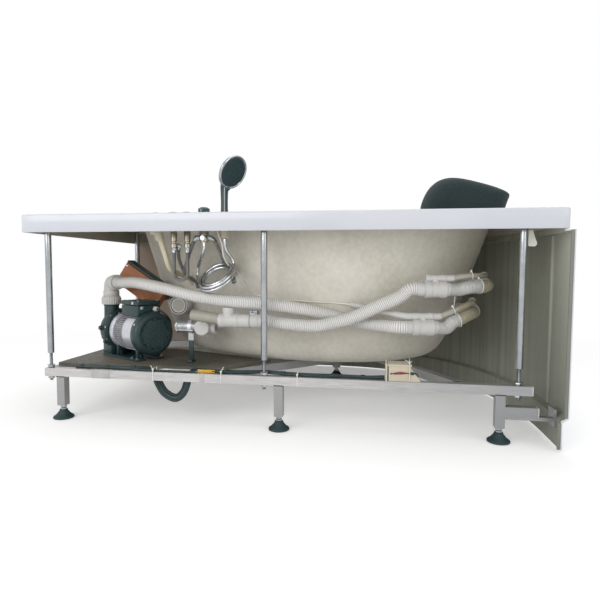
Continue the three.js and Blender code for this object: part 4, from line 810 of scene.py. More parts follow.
def shell_angles():
    corners = [p for p in deck_outline(0) if p[1] <= RIM_CORNER or p[0] == 0]
    found = [math.atan2(y - BASIN_Y, x - BASIN_X) for x, y in corners]
    found += [FULL * i / STATIONS - math.pi for i in range(STATIONS)]
    found.sort()
    return [a for i, a in enumerate(found) if i == 0 or a - found[i - 1] > FULL / STATIONS / 14]


ANGLES = shell_angles()


def ring_of(radius_at, z):
    return [
        at(BASIN_X + radius_at(a) * math.cos(a), BASIN_Y + radius_at(a) * math.sin(a), z) for a in ANGLES
    ]


# Rows of the basin's profile, finer than the shares they pass through
def profile_rows(step):
    return [tuple(v) for v in evenly(smooth_line([Vector(row) for row in BASIN_SHARES], 0.01), step)]


def basin_rings(grow, base, top, step=0.035):
    rings = []
    for long_share, short_share, rise in profile_rows(step):
        z = base + (top - base) * rise
        rings.append(ring_of(lambda a: basin_radius(a, long_share, short_share) + grow, z))
    return rings


def outline_ring(inset, z):
    outline = deck_outline(inset)
    return ring_of(lambda a: edge_at(outline, a), z)


def edge_of_basin(out, z):
    return ring_of(lambda a: basin_radius(a, 1, 1) - RIM_WALL + out, z)


def make_shell():
    form = Form()
    under = [
        *basin_rings(0, BASIN_BASE, DECK_UNDER), outline_ring(RIM_WALL, DECK_UNDER),
        outline_ring(RIM_WALL, RIM_TOP - RIM_LIP + 1),
    ]
    form.rings(under, "sprayed_fibreglass", caps=(True, False))
    lip = [
        outline_ring(RIM_WALL, RIM_TOP - RIM_LIP + 1), outline_ring(RIM_WALL - 1, RIM_TOP - RIM_LIP),
        outline_ring(1, RIM_TOP - RIM_LIP),
    ]
    lip.append(outline_ring(0, RIM_TOP - RIM_LIP + 1))
    for k in range(5):
        angle = math.pi / 2 * k / 4
        lip.append(
            outline_ring(RIM_ROUND * (1 - math.cos(angle)), RIM_TOP - RIM_ROUND * (1 - math.sin(angle)))
        )
    for k in range(5):
        angle = math.pi / 2 * k / 4
        lip.append(
            edge_of_basin(RIM_ROUND * (1 - math.sin(angle)), RIM_TOP - RIM_ROUND * (1 - math.cos(angle)))
        )
    inside = basin_rings(-RIM_WALL, BASIN_BASE + RIM_WALL, RIM_TOP)[:-1]
    form.rings(lip + inside[::-1], "formed_acrylic", caps=(False, True))
    form.make("bath_shell", replaces=("tub_shell",), sharp=50, slot="acrylic")


make_shell()


# Curved apron with a step at its foot

APRON_STATIONS = 180


def make_apron():
    proud, wall, top, bottom, high, low_step, inward = 14, 4, 561, 5, 84, 76, 15
    low = proud - inward
    outer = [
        (proud - 1, top), (proud, top - 1), (proud, high + 3), (proud - 2, high), (low + 2, low_step),
        (low, low_step - 3), (low, bottom),
    ]
    inner = [
        (low - wall, bottom), (low - wall, low_step + wall), (proud - wall, high + wall),
        (proud - wall, top - 4),
    ]
    hook = [(-9.5, top - 4), (-9.5, top + 12), (-7.5, top + 12), (-7.5, top)]

    def stations(section):
        out = []
        for offset, z in section:
            flat = [Vector((x, y, 0)) for x, y in front_curve(offset)]
            flat.insert(0, Vector((RIM_LENGTH + offset, 4 if offset > -6 else 16, 0)))
            line = [p for p in evenly(flat, 4) if p.x >= 2]
            line = evenly(line, length_of(line) / APRON_STATIONS)
            out.append([at(p.x, p.y, z) for p in line])
        return out

    form = Form()
    for section, finish in (
        (hook[2:] + outer, "formed_acrylic"), ([outer[-1], *inner, *hook[:3]], "brushed_laminate"),
    ):
        sections = list(zip(*stations(section)))
        form.rings(sections, finish, caps=(False, False), shut=False)
    ends = list(zip(*stations(outer + inner + hook)))
    for end in (ends[0], ends[-1]):
        form.rings([end], "formed_acrylic", caps=(True, False))
    form.box((RIM_LENGTH + 2, 3.6, high + 2), (proud - 4.4, 4, top - high - 3), "sawn_laminate", 1.6)
    form.box(
        (RIM_LENGTH - 13, 3.6, bottom + 0.5), (proud - 4.4, 4, low_step - bottom - 2), "sawn_laminate", 1.6,
    )
    form.tube(
        [at(RIM_LENGTH + 9, 148, high + 6), at(RIM_LENGTH + 9, 148, top - 8)], 6, "brushed_laminate", 20,
    )
    form.make("apron", replaces=("front_skirt",), sharp=40)


make_apron()


# Carried-over pieces of the frame and the pump's inside

CARRIED = {
    "near_rail": "bright_brushed_steel", "left_rail": "brushed_steel", "right_rail": "brushed_steel",
    "far_rail": "brushed_steel", "cross_brace": "brushed_steel", "pump_board": "film_faced_board",
    "bracket_strap": "brushed_steel", "motor_shaft": "zinc_plate", "impeller": "textured_plastic",
    "cooling_fan": "textured_plastic",
}
for node_name, finish_name in CARRIED.items():
    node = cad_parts[node_name]
    node.data.materials.clear()
    node.data.materials.append(FINISH[finish_name])

LEGS = {"near_left": (84.5, RAIL_Y), "near_middle": (759.5, RAIL_Y), "near_right": (1358.5, RAIL_Y)}
LEGS.update({"far_left": (50.5, 649.5), "far_right": (863.857, 783.208)})
POSTS = {
    "near_left": (47, RAIL_Y), "near_middle": (716, RAIL_Y), "near_right": (1405, RAIL_Y),
    "far_left": (50.5, 610),
}


def make_foot(place, x, y):
    form = Form()
    profile = [
        (0, 0), (27, 0), (30, 1.5), (30, 5), (28.5, 7), (24, 9.5), (19.5, 14), (15.5, 19), (12.6, 23),
        (11.6, 26), (11.6, 27),
    ]
    form.lathe(profile + [(0, 27)], at(x, y, 0), UP, "moulded_rubber", 40)
    form.thread(at(x, y, 26), UP, 5, 76, "zinc_plate")
    form.nut(at(x, y, 26.6), UP, 9.4, 5.4, "zinc_plate")
    form.nut(at(x, y, 33.2), UP, 9.2, 7, "zinc_plate")
    form.make(
        "levelling_foot_" + place, "foot_" + place + "_screw", replaces=("foot_" + place,), slot="rubber",
    )


def make_post(place, x, y):
    form = Form()
    form.lathe(
        [(0, 200), (8.4, 200), (9.4, 201.4), (9.4, 590), (9, 600), (8.6, 608), (0, 608.4)], at(x, y, 0), UP,
        "zinc_plate", 32,
    )
    form.thread(at(x, y, 116), UP, 5, 85, "zinc_plate")
    form.nut(at(x, y, RAIL_TOP + 0.3), UP, 9.5, 8, "zinc_plate")
    form.nut(at(x, y, RAIL_LOW - 8.3), UP, 9.5, 8, "zinc_plate")
    form.lathe(
        [(5.4, 0), (11.5, 0), (11.5, 1.2), (5.4, 1.2)], at(x, y, RAIL_TOP + 8.4), UP, "zinc_plate", 24,
        loop=True,
    )
    form.make("rim_post_" + place, replaces=("post_" + place,))


for place_name, (leg_x, leg_y) in LEGS.items():
    make_foot(place_name, leg_x, leg_y)
for place_name, (post_x, post_y) in POSTS.items():
    make_post(place_name, post_x, post_y)


# Weld beads, end caps and tape on the frame
def make_frame_details():
    form = Form()
    for x in (LEGS[name][0] for name in ("near_left", "near_middle", "near_right")):
        for side in (-1, 1):
            bead = [
                at(x + side * 12.9, 44 + 25 * k / 8, RAIL_LOW - 0.6 + 0.5 * math.sin(k * 2.1))
                for k in range(9)
            ]
            form.tube(bead, 1.7, "weld_bead", 8, swell=lambda k: 0.4 * (k % 2))
        bead = [at(x - 12 + 24 * k / 8, 43.6, RAIL_LOW - 0.6 + 0.4 * math.sin(k * 1.7)) for k in range(9)]
        form.tube(bead, 1.6, "weld_bead", 8, swell=lambda k: 0.4 * (k % 2))
    form.make("weld_beads")
    caps = Form()
    caps.box((1437.2, 44.6, 130.6), (2.6, 23.8, 23.8), "white_nylon", 0.8)
    caps.box((31.2, 44.6, 130.6), (2.6, 23.8, 23.8), "white_nylon", 0.8)
    caps.box((1453.2, 44.6, 74.1), (2.4, 23.8, 23.8), "white_nylon", 0.8)
    caps.make("tube_end_caps", slot="white_pipe")
    tape = Form()
    for x, width in ((187, 60), (527, 14)):
        tape.box((x, 43.4, 129.4), (width, 26.2, 26.2), "foil_tape", 0.5)
    tape.make("tape_patches")


make_frame_details()


# Pump, built along its own axis and turned into place

PUMP_X, PUMP_Y, PUMP_Z = 335, 168, 250
PUMP = placed(PUMP_X, PUMP_Y, PUMP_Z, math.radians(148))


def pump_at(along, across=0, up=0):
    return PUMP @ Vector((along, across, up))


PUMP_ALONG = (pump_at(1) - pump_at(0)).normalized()
PUMP_ACROSS = (pump_at(0, 1) - pump_at(0)).normalized()
BASE_LOW = BOARD_TOP - PUMP_Z


# Place round the pump's axis, by a radius in millimetres and an angle from across to up
def pump_round(along, radius, angle):
    return pump_at(along, radius * math.cos(angle), radius * math.sin(angle))


# Ring of twelve points about a vent hole, reaching to its cell's flats and corners in turn
def vent_ring(along, across, up, reaches):
    ring = []
    for i in range(12):
        angle = FULL * i / 12
        reach = reaches[i % 2]
        ring.append(pump_at(along, across + reach * math.cos(angle), up + reach * math.sin(angle)))
    return ring


def make_fan_cover():
    form = Form()
    form.lathe([
        (50, 1.8), (50, 0.7), (52, 0.1), (57, 0.2), (61, 0.8), (65, 2.4), (68.6, 6), (70, 11), (70, 28),
        (69, 30), (69, 34), (58, 34), (58, 32), (67, 30), (67.4, 11), (63, 4.4), (56, 2.8), (50, 2.6),
    ], pump_at(0), PUMP_ALONG, "textured_plastic", 96, loop=True)
    pitch, hole, rim, opening = 9.4, 2.6, 0.9, 50
    for row in range(-7, 8):
        for column in range(-10, 11):
            across = pitch * (column + row / 2)
            up = pitch * 0.8660254 * row
            if math.hypot(across, up) > opening - 1:
                continue
            cell = vent_ring(1.2, across, up, (pitch / 2, pitch * 0.57735))
            lip = vent_ring(0.9, across, up, (hole + rim, hole + rim))
            inner = vent_ring(0.9, across, up, (hole, hole))
            back = vent_ring(2.8, across, up, (hole, hole))
            form.rings([cell, lip], "textured_plastic", caps=(False, False))
            form.rings([lip, inner, back], "pale_vent_rim", caps=(False, False))
    for k in range(3):
        angle = FULL * (k / 3 + 0.08)
        spot = pump_round(22, 70.2, angle)
        out = (spot - pump_at(22)).normalized()
        form.lathe([(0, -2), (4, -2), (4, 0.6), (3, 1.4), (0, 1.4)], spot, out, "zinc_plate", 16)
    form.make("pump_fan_cover", replaces=("fan_cover",), slot="black_plastic")


def make_motor():
    form = Form()
    fins = 46
    outline = []
    for k in range(fins):
        for turn, radius in (
            (0.0, 53.5), (0.42, 53.5), (0.52, 59.2), (0.66, 60), (0.82, 59.2), (0.94, 53.5),
        ):
            outline.append((radius, (k + turn) / fins))
    form.rings([
        [pump_round(along, r, FULL * a) for r, a in outline] for along in (40, 44, 104, 166)
    ], "cast_aluminium")
    form.lathe(
        [(0, 36), (56, 36), (59, 37), (60, 39), (60, 42), (56, 43.5), (0, 43.5)], pump_at(0), PUMP_ALONG,
        "cast_aluminium", 72,
    )
    form.lathe([
        (0, 158), (56, 158), (60, 159.4), (61.6, 162), (61.6, 178), (60.4, 180.6), (57, 182), (57, 185),
        (0, 185),
    ], pump_at(0), PUMP_ALONG, "rolled_aluminium", 72)
    rows = []
    for k in range(13):
        angle = math.radians(-48 + 98 * k / 12)
        row = [(59.8, 44), (60.9, 44), (60.9, 100), (59.8, 100)]
        rows.append([pump_round(along, r, angle) for r, along in row])
    form.rings(rows, "rolled_aluminium")
    for angle in (-43, 45):
        turn = math.radians(angle)
        for along in (48, 96):
            spot = pump_round(along, 60.8, turn)
            form.lathe(
                [(0, 0), (1.5, 0), (1.2, 0.6), (0, 0.8)], spot, spot - pump_at(along), "zinc_plate", 10,
            )
    for angle in (1.16, 1.98, 4.3, 5.12):
        spot = pump_round(60, 61.4, angle)
        form.bar(2.2, 108, spot, PUMP_ALONG, "zinc_plate", 10)
        form.nut(pump_round(176, 61.4, angle), PUMP_ALONG, 4.4, 6, "zinc_plate")
    form.make("pump_motor", replaces=("motor_body",), slot="aluminium")


def make_wet_end():
    form = Form()
    form.lathe([
        (12, 190), (54, 190), (66, 191), (70.6, 194), (72, 199), (72, 212), (70, 213), (66.6, 215),
        (66, 226), (63, 238), (57, 247), (48, 252), (36, 254), (33, 256), (31, 262), (31, 276), (29.5, 278),
        (22, 278), (22, 246), (60, 240), (60, 200), (12, 200),
    ], pump_at(0), PUMP_ALONG, "textured_plastic", 72, loop=True)
    for k in range(10):
        angle = FULL * (k + 0.3) / 10
        spot = pump_round(197, 67.6, angle)
        form.nut(spot, -PUMP_ALONG, 4.2, 5, "zinc_plate")
        form.bar(5.6, 17, spot + PUMP_ALONG * 0.0005, PUMP_ALONG, "textured_plastic", 16)
        rib = [pump_round(along, r, angle) for r, along in ((66, 216), (66, 228), (57, 246), (38, 252))]
        form.tube(smooth_line(rib, 0.006), 2.2, "textured_plastic", 8)
    neck = pump_at(222, 28, 0)
    form.lathe([
        (17, 0), (27, 0), (26, 20), (24.6, 40), (24, 60), (24, 82), (25.6, 83), (25.6, 86), (24, 87),
        (24, 100), (17, 100),
    ], neck, UP, "textured_plastic", 48, loop=True)
    form.lathe(
        [(0, -16), (9, -16), (9, 2), (8, 3.4), (7, 3.4), (7, 8), (5.8, 9.4), (0, 9.6)],
        pump_at(208, 72, 10), PUMP_ACROSS, "textured_plastic", 24,
    )
    form.lathe(
        [(0, -16), (7, -16), (7, 0), (5.6, 6), (0, 6.4)], pump_at(208, 60, -38), PUMP_ACROSS,
        "textured_plastic", 24,
    )
    for low, size in (
        ((30, -52, BASE_LOW), (214, 34, 6)), ((30, 18, BASE_LOW), (214, 34, 6)),
        ((150, -50, BASE_LOW), (60, 100, 5)),
    ):
        form.box(low, size, "textured_plastic", 1.6, PUMP)
    for along in (42, 161):
        for across in (-40, 18):
            form.box((along, across, BASE_LOW + 5), (12, 22, 34), "textured_plastic", 2, PUMP)
            form.box((along - 5, across + 8, BASE_LOW + 5), (22, 6, 14), "textured_plastic", 1.5, PUMP)
        arch = [
            pump_at(along + 6, 42 * math.sin(a), -62 * math.cos(a))
            for a in [math.radians(-46 + 92 * k / 16) for k in range(17)]
        ]
        form.tube(arch, 6, "textured_plastic", 12)
    form.box((190, -50, BASE_LOW + 4), (54, 100, 34), "textured_plastic", 3, PUMP)
    for along in (37, 66, 228):
        for across in (-44, 44):
            form.bar(7, 1.2, pump_at(along, across, BASE_LOW + 6), UP, "zinc_plate", 20)
            form.nut(pump_at(along, across, BASE_LOW + 7), UP, 5.2, 4, "zinc_plate")
    form.make("pump_wet_end", replaces=("pump_volute",), slot="black_plastic")


def make_terminal_box():
    form = Form()
    form.box((34.6, -41.4, 56), (98, 82.8, 34), "textured_plastic", 2.4, PUMP, 3)
    form.box((34, -42, 91), (99.4, 84, 14), "textured_plastic", 3, PUMP, 3)
    form.box((48, -30, 50), (74, 60, 10), "textured_plastic", 2, PUMP)
    for along in (41, 126):
        for across in (-35, 35):
            form.lathe(
                [(0, 0), (4, 0), (3.6, 1.6), (0, 2)], pump_at(along, across, 104.4), UP, "zinc_plate", 16,
            )
    form.box((32.8, 22, 78), (2.4, 9, 9), "rolled_aluminium", 0.8, PUMP)
    form.lathe(
        [(0, 0), (2.2, 0), (2, 0.8), (0, 1)], pump_at(32.6, 26.5, 82.5), -PUMP_ALONG, "zinc_plate", 12,
    )
    form.box((32.9, -6, 64), (2, 3, 12), "textured_plastic", 0.6, PUMP)
    form.lathe(
        [(0, -3), (5, -3), (5, 3), (4, 3.4), (0, 3.4)], pump_at(60, 42, 98), PUMP_ACROSS,
        "rolled_aluminium", 20,
    )
    gland = pump_at(34, -21, 77.5)
    form.nut(gland, -PUMP_ALONG, 9.4, 5, "polythene")
    form.lathe(
        [(3.5, 4), (7.6, 4), (8.4, 6), (8.4, 10), (6, 13.6), (3.5, 14)], gland, -PUMP_ALONG, "polythene",
        24, loop=True,
    )
    lead = [
        pump_at(30, -21, 77.5), pump_at(18, -21, 77.5), pump_at(6, -28, 70), pump_at(0, -46, 52),
        pump_at(16, -68, 26), pump_at(48, -78, -14), pump_at(84, -76, -50), pump_at(110, -66, -74),
        pump_at(132, -56, -80.4), pump_at(160, -54, -83.4),
    ]
    form.tube(smooth_line(lead, 0.004), 3.4, "cable_sheath", 12)
    form.make("pump_terminal_box", replaces=("terminal_box",), slot="black_plastic")


make_fan_cover()
make_motor()
make_wet_end()
make_terminal_box()


# Union and elbow over the pump's outlet

NECK_X, NECK_Y = 131.895, 261.897
NECK_TOP, ELBOW_Z, ELBOW_REACH = 350, 412, 44
ELBOW_TURN = math.radians(-33)
ELBOW_OUT = Vector((math.cos(ELBOW_TURN), math.sin(ELBOW_TURN), 0))


def make_union():
    form = Form()
    base = at(NECK_X, NECK_Y, 337)
    form.grip([
        (24.6, 0, 0), (30.4, 0, 0), (31.6, 1.2, 1), (32, 2.4, 1), (32, 20, 1), (31.4, 22, 1), (29.5, 23, 0),
        (28.6, 27, 0), (24.6, 27, 0),
    ], base, UP, "moulded_pvc", 26, 1.2)
    form.make("outlet_union", replaces=("union_nut",))


def make_elbow():
    form = Form()
    corner = Vector((NECK_X, NECK_Y, ELBOW_Z))
    bend = 15
    line = [Vector((NECK_X, NECK_Y, NECK_TOP + 0.4)), Vector((NECK_X, NECK_Y, NECK_TOP + 30))]
    for k in range(9):
        angle = math.pi / 2 * k / 8
        line.append(
            corner + ELBOW_OUT * (bend * (1 - math.cos(angle))) - UP * (bend * (1 - math.sin(angle)))
        )
    line.append(corner + ELBOW_OUT * ELBOW_REACH)
    form.tube([at(*p) for p in line], 23.2, "moulded_pvc", 36, bore=17)
    form.lathe(
        [(22, 0), (25.6, 0), (26.2, 1), (26.2, 17), (25, 19), (22, 19)], at(NECK_X, NECK_Y, 364.6), UP,
        "moulded_pvc", 40, loop=True,
    )
    out = corner + ELBOW_OUT * 24
    form.lathe(
        [(22, 0), (24.6, 0), (25.6, 1.4), (25.6, 19), (25, 20), (22, 20)], at(*out), ELBOW_OUT,
        "moulded_pvc", 40, loop=True,
    )
    form.make("outlet_elbow", replaces=("discharge_elbow",))


make_union()
make_elbow()


# Outside of the basin, met along a level line from a point outside it

PROFILE = profile_rows(0.02)


def reach_to_basin(point, direction):
    depth = (point.z - BASIN_BASE) / (DECK_UNDER - BASIN_BASE)
    k = 1
    while k < len(PROFILE) - 1 and PROFILE[k][2] < depth:
        k += 1
    low_row, high_row = PROFILE[k - 1], PROFILE[k]
    blend = (depth - low_row[2]) / (high_row[2] - low_row[2])
    long_share = low_row[0] + (high_row[0] - low_row[0]) * blend
    short_share = low_row[1] + (high_row[1] - low_row[1]) * blend
    near, far = 0.0, math.hypot(point.x - BASIN_X, point.y - BASIN_Y)
    for _ in range(30):
        middle = (near + far) / 2
        x = point.x + direction.x * middle - BASIN_X
        y = point.y + direction.y * middle - BASIN_Y
        if math.hypot(x, y) > basin_radius(math.atan2(y, x), long_share, short_share):
            near = middle
        else:
            far = middle
    return near


# Jets: a water run, an air run above it and a branch to the basin's wall

UPPER_JET, LOWER_JET = Vector((1191, 104, 405)), Vector((1160, 106, 298))
UPPER_END_JET, LOWER_END_JET = Vector((1362, 318, 412)), Vector((1328, 312, 331))
NEAR_AIM, END_AIM = math.radians(98), math.radians(172)
JET_HALF, AIR_HALF, AIR_RISE = 30, 27, 31


def jet_axes(aim):
    inward = Vector((math.cos(aim), math.sin(aim), 0))
    return Vector((inward.y, -inward.x, 0)), inward


# Circle of a jet's radius laid on the basin's wall, and moved out of it
def wall_ring(place, aim, radius, out, sides=32):
    along, inward = jet_axes(aim)
    circle = ring_round(place, along, UP, radius, sides)
    return [at(*(spot + inward * (reach_to_basin(spot, inward) + out))) for spot in circle]


def make_jet(name, node, place, aim):
    along, inward = jet_axes(aim)
    form = Form()
    form.lathe([
        (16.5, -30), (22.4, -30), (23.4, -29), (23.4, -13), (22.2, -11.5), (22.2, 11.5), (23.4, 13),
        (23.4, 29), (22.4, 30), (16.5, 30),
    ], at(*place), along, "moulded_pvc", 36, loop=True)
    start = wall_ring(place, aim, 23, 0)
    near = [v - inward * 0.001 * (reach_to_basin(place, inward) - 4) for v in start]
    form.rings([
        near, wall_ring(place, aim, 23, -6), wall_ring(place, aim, 25, -4), wall_ring(place, aim, 30, -3.6),
        wall_ring(place, aim, 31, -2.6), wall_ring(place, aim, 31, 0.4),
    ], "moulded_pvc", caps=(True, False))
    form.bar(9.6, AIR_RISE, at(*place), UP, "moulded_pvc", 24)
    form.lathe([
        (5.5, -27), (9.6, -27), (10.4, -26), (10.4, -16), (9.4, -15), (9.4, 15), (10.4, 16), (10.4, 26),
        (9.6, 27), (5.5, 27),
    ], at(*(place + UP * AIR_RISE)), along, "moulded_pvc", 24, loop=True)
    form.make(name, replaces=(node,))


def make_trim(form, place, aim):
    form.rings([
        wall_ring(place, aim, 24, 6.1), wall_ring(place, aim, 24, 7.6), wall_ring(place, aim, 23, 9),
        wall_ring(place, aim, 18, 9.6), wall_ring(place, aim, 15.6, 9), wall_ring(place, aim, 14.8, 6.2),
    ], "chrome_plate", caps=(False, False))


def make_nozzle(name, node, body, place, aim):
    along, inward = jet_axes(aim)
    form = Form()
    centre = at(*(place + inward * (reach_to_basin(place, inward) + 6)))
    first = math.asin(5.6 / 13)
    arc = [first + (math.pi - 2 * first) * k / 16 for k in range(17)]
    ball = [(13 * math.sin(a), -13 * math.cos(a)) for a in arc]
    bore = [(4.8, 11.2), (4.2, 6), (4.2, -6), (4.8, -11.2)]
    form.lathe(ball + bore, centre, inward, "chrome_plate", 32, loop=True)
    form.make(name, body, replaces=(node,), slot="chrome")


make_jet("jet_upper", "upper_jet_body", UPPER_JET, NEAR_AIM)
make_jet("jet_lower", "lower_jet_body", LOWER_JET, NEAR_AIM)
make_jet("jet_upper_end", "upper_end_jet", UPPER_END_JET, END_AIM)
make_jet("jet_lower_end", "lower_end_jet", LOWER_END_JET, END_AIM)
make_nozzle("nozzle_upper", "upper_jet_nozzle", "upper_nozzle", UPPER_JET, NEAR_AIM)
make_nozzle("nozzle_lower", "lower_jet_nozzle", "lower_nozzle", LOWER_JET, NEAR_AIM)
trims = Form()
make_trim(trims, UPPER_JET, NEAR_AIM)
make_trim(trims, LOWER_JET, NEAR_AIM)
trims.make("jet_trims")


# Ribbed water hoses and plain air hoses

def mouth(place, aim, side, up, lead):
    along, inward = jet_axes(aim)
    sign = math.copysign(1, side)
    return [at(*(place + along * reach + UP * up)) for reach in (side, side + sign * lead)]


def ribbed_hose(form, line, finish="ribbed_hose", radius=18.5, pitch=RIB_PITCH, cuffs=(24, 24)):
    total = length_of(line)
    count = 4 * round(total / pitch * 1000)
    rows = evenly(line, total / count * 0.999999)
    heights = (0.0, 0.7, 1.0, 0.7)
    form.tube(
        rows, radius - 1.0, finish, 20, swell=lambda k: heights[k % 4],
        stretch=RIB_PITCH / 1000 / (total / count * 4),
    )
    for cuff, ordered in zip(cuffs, (rows, rows[::-1])):
        if cuff:
            sleeve = ordered[:max(3, round(cuff / pitch * 4))]
            form.tube(sleeve[::3], radius + 0.9, "moulded_pvc", 28)


WATER_SIDE, WATER_LEAD = JET_HALF + 0.3, 37
AIR_SIDE, AIR_LEAD = AIR_HALF + 0.3, 17
ELBOW_CORNER = Vector((NECK_X, NECK_Y, ELBOW_Z))
HOSE_A = [
    (256, 180, 414), (314, 148, 409), (392, 124, 397), (508, 106, 374), (602, 100, 364), (706, 104, 358),
    (809, 118, 343), (892, 138, 324), (956, 140, 310), (1030, 124, 300),
]
HOSE_B = [
    (738, 106, 303), (811, 97, 297), (868, 94, 297), (910, 93, 307), (960, 93, 321), (1040, 94, 358),
    (1095, 98, 383),
]
UPPER_TAIL = [(1275, 106, 410), (1308, 122, 414), (1334, 160, 414), (1352, 214, 413)]
LOWER_TAIL = [(1238, 110, 312), (1268, 128, 324), (1294, 162, 332), (1312, 208, 332)]
LOWER_AIR = [(955, 136, 357), (1010, 128, 347), (1065, 116, 336)]
LOWER_END_AIR = [(1238, 110, 343), (1268, 128, 355), (1294, 162, 363), (1312, 208, 363)]
UPPER_AIR = [(1265, 110, 441), (1302, 128, 443), (1328, 168, 443), (1344, 224, 443)]


def hose_between(start, route, end):
    return smooth_line([*start, *points(route), *end[::-1]], 0.004)


def make_water_hoses():
    start = [at(*(ELBOW_CORNER + ELBOW_OUT * (ELBOW_REACH + reach))) for reach in (0.3, 37.3)]
    form = Form()
    ribbed_hose(form, hose_between(start, HOSE_A, mouth(LOWER_JET, NEAR_AIM, -WATER_SIDE, 0, WATER_LEAD)))
    form.make("water_hose_a", replaces=("jet_hose_a",))
    form = Form()
    start = points([(688.3, 112, 305), (725.3, 112, 305)])
    ribbed_hose(form, hose_between(start, HOSE_B, mouth(UPPER_JET, NEAR_AIM, -WATER_SIDE, 0, WATER_LEAD)))
    form.make("water_hose_b", replaces=("jet_hose_b",))


# A tail is wire-reinforced as far as its ring and clear beige after it
def make_tail(place, end_place, route, ring_share):
    form = Form()
    line = hose_between(
        mouth(place, NEAR_AIM, WATER_SIDE, 0, WATER_LEAD), route,
        mouth(end_place, END_AIM, -WATER_SIDE, 0, WATER_LEAD),
    )
    cut = round(len(line) * ring_share)
    ribbed_hose(form, line[:cut + 1], "wire_hose", cuffs=(12, 0))
    ribbed_hose(form, line[cut:], "aged_clear_hose", 17.6, 7.4, cuffs=(0, 26))
    return form, line, cut


def ring_clip(form, line, index, radius, lean):
    point, side, other = frames_along(line)[index]
    forward = (line[index + 1] - line[index - 1]).normalized()
    tilted = (forward + side * lean).normalized()
    across, above, forward = axes_along(tilted)
    loop = ring_round(point, across, above, radius / 1000, 40)
    rings = [ring_round(spot, (spot - point).normalized(), forward, 0.0011, 8) for spot in loop]
    form.rings(rings, "white_nylon", loop=True)
    top = loop[10] if loop[10].z > loop[30].z else loop[30]
    form.lathe([(0, -1), (2.6, -1), (2.6, 4), (1.6, 5.6), (0, 5.8)], top, top - point, "white_nylon", 12)


def make_tails():
    clips = Form()
    for name, node, place, end_place, route, share in (
        ("tail_upper", "upper_tail_hose", UPPER_JET, UPPER_END_JET, UPPER_TAIL, 0.36),
        ("tail_lower", "lower_tail_hose", LOWER_JET, LOWER_END_JET, LOWER_TAIL, 0.3),
    ):
        form, line, cut = make_tail(place, end_place, route, share)
        form.make(name, replaces=(node,))
        ring_clip(clips, line, cut, 20.6, 0.28)
    for name, node, line, share in (
        (
            "air_lower", "lower_air_hose",
            [*points(LOWER_AIR), *mouth(LOWER_JET, NEAR_AIM, -AIR_SIDE, AIR_RISE, AIR_LEAD)[::-1]], 0,
        ),
        ("air_lower_end", "lower_end_air_hose", [
            *mouth(LOWER_JET, NEAR_AIM, AIR_SIDE, AIR_RISE, AIR_LEAD), *points(LOWER_END_AIR),
            *mouth(LOWER_END_JET, END_AIM, -AIR_SIDE, AIR_RISE, AIR_LEAD)[::-1],
        ], 0.24),
        ("air_upper", "upper_air_hose", [
            *mouth(UPPER_JET, NEAR_AIM, AIR_SIDE, AIR_RISE, AIR_LEAD), *points(UPPER_AIR),
            *mouth(UPPER_END_JET, END_AIM, -AIR_SIDE, AIR_RISE, AIR_LEAD)[::-1],
        ], 0.28),
    ):
        line = smooth_line(line, 0.004)
        form = Form()
        cut = round(len(line) * share) if share else len(line) - 1
        form.tube(line[:cut + 1], 8.1, "moulded_pvc" if not share else "extruded_pvc", 20)
        if share:
            form.tube(line[cut:], 7.6, "aged_clear_hose", 20)
            ring_clip(clips, line, cut, 11.2, 0.3)
        sleeve = line[:8] if share else line[-16:]
        form.tube(sleeve, 9.6, "moulded_pvc", 24)
        form.make(name, replaces=(node,))
    string = points([(1241, 81, 388), (1240, 80, 372), (1238, 84, 356), (1238, 97, 346)])
    clips.tube(smooth_line(string, 0.003), 0.7, "white_nylon", 6)
    clips.make("ring_clips")


make_water_hoses()
make_tails()


# Pipe tee, heater and open waste pipe

TEE = (596, 112, 305)


def make_pipe_tee():
    form = Form()
    middle = at(*TEE)
    form.lathe([
        (16, -30), (21, -30), (21.6, -28), (21.6, -17), (20.4, -15), (20.4, 15), (21.6, 17), (21.6, 28),
        (21, 30), (20.2, 31), (20.4, 33), (20.4, 89), (19.6, 92), (13, 92), (13, 31), (16, 30),
    ], middle, ALONG, "moulded_pvc", 40, loop=True)
    left = at(478, 112, 320)
    form.lathe(
        [(13, 0), (15.6, 0), (17, 1), (17, 98), (13, 98)], left, middle - left, "extruded_pvc", 40,
        loop=True,
    )
    form.lathe(
        [(0, 0), (18.4, 0), (18.4, 24), (19.4, 25), (19.4, 37), (18.6, 39.4), (15, 40.4), (0, 40.6)],
        middle, UP, "moulded_pvc", 36,
    )
    form.lathe(
        [(20.3, 0), (21.4, 0.5), (21.4, 3.5), (20.3, 4)], at(660, 112, 305), ALONG, "extruded_pvc", 36,
        loop=True,
    )
    form.box((662, 104, 324.5), (24, 16, 3), "zinc_plate", 1)
    form.box((664, 104.5, 327), (3, 15, 9), "zinc_plate", 1)
    form.box((680, 104.5, 327), (3, 15, 9), "zinc_plate", 1)
    form.bar(2.6, 24, at(661, 112, 332), ALONG, "zinc_plate", 14)
    form.nut(at(684, 112, 332), ALONG, 4.6, 4, "zinc_plate")
    form.make("pipe_junction", replaces=("pipe_tee",))


HEATER_X, HEATER_Y, HEATER_Z = 449, 178, 276


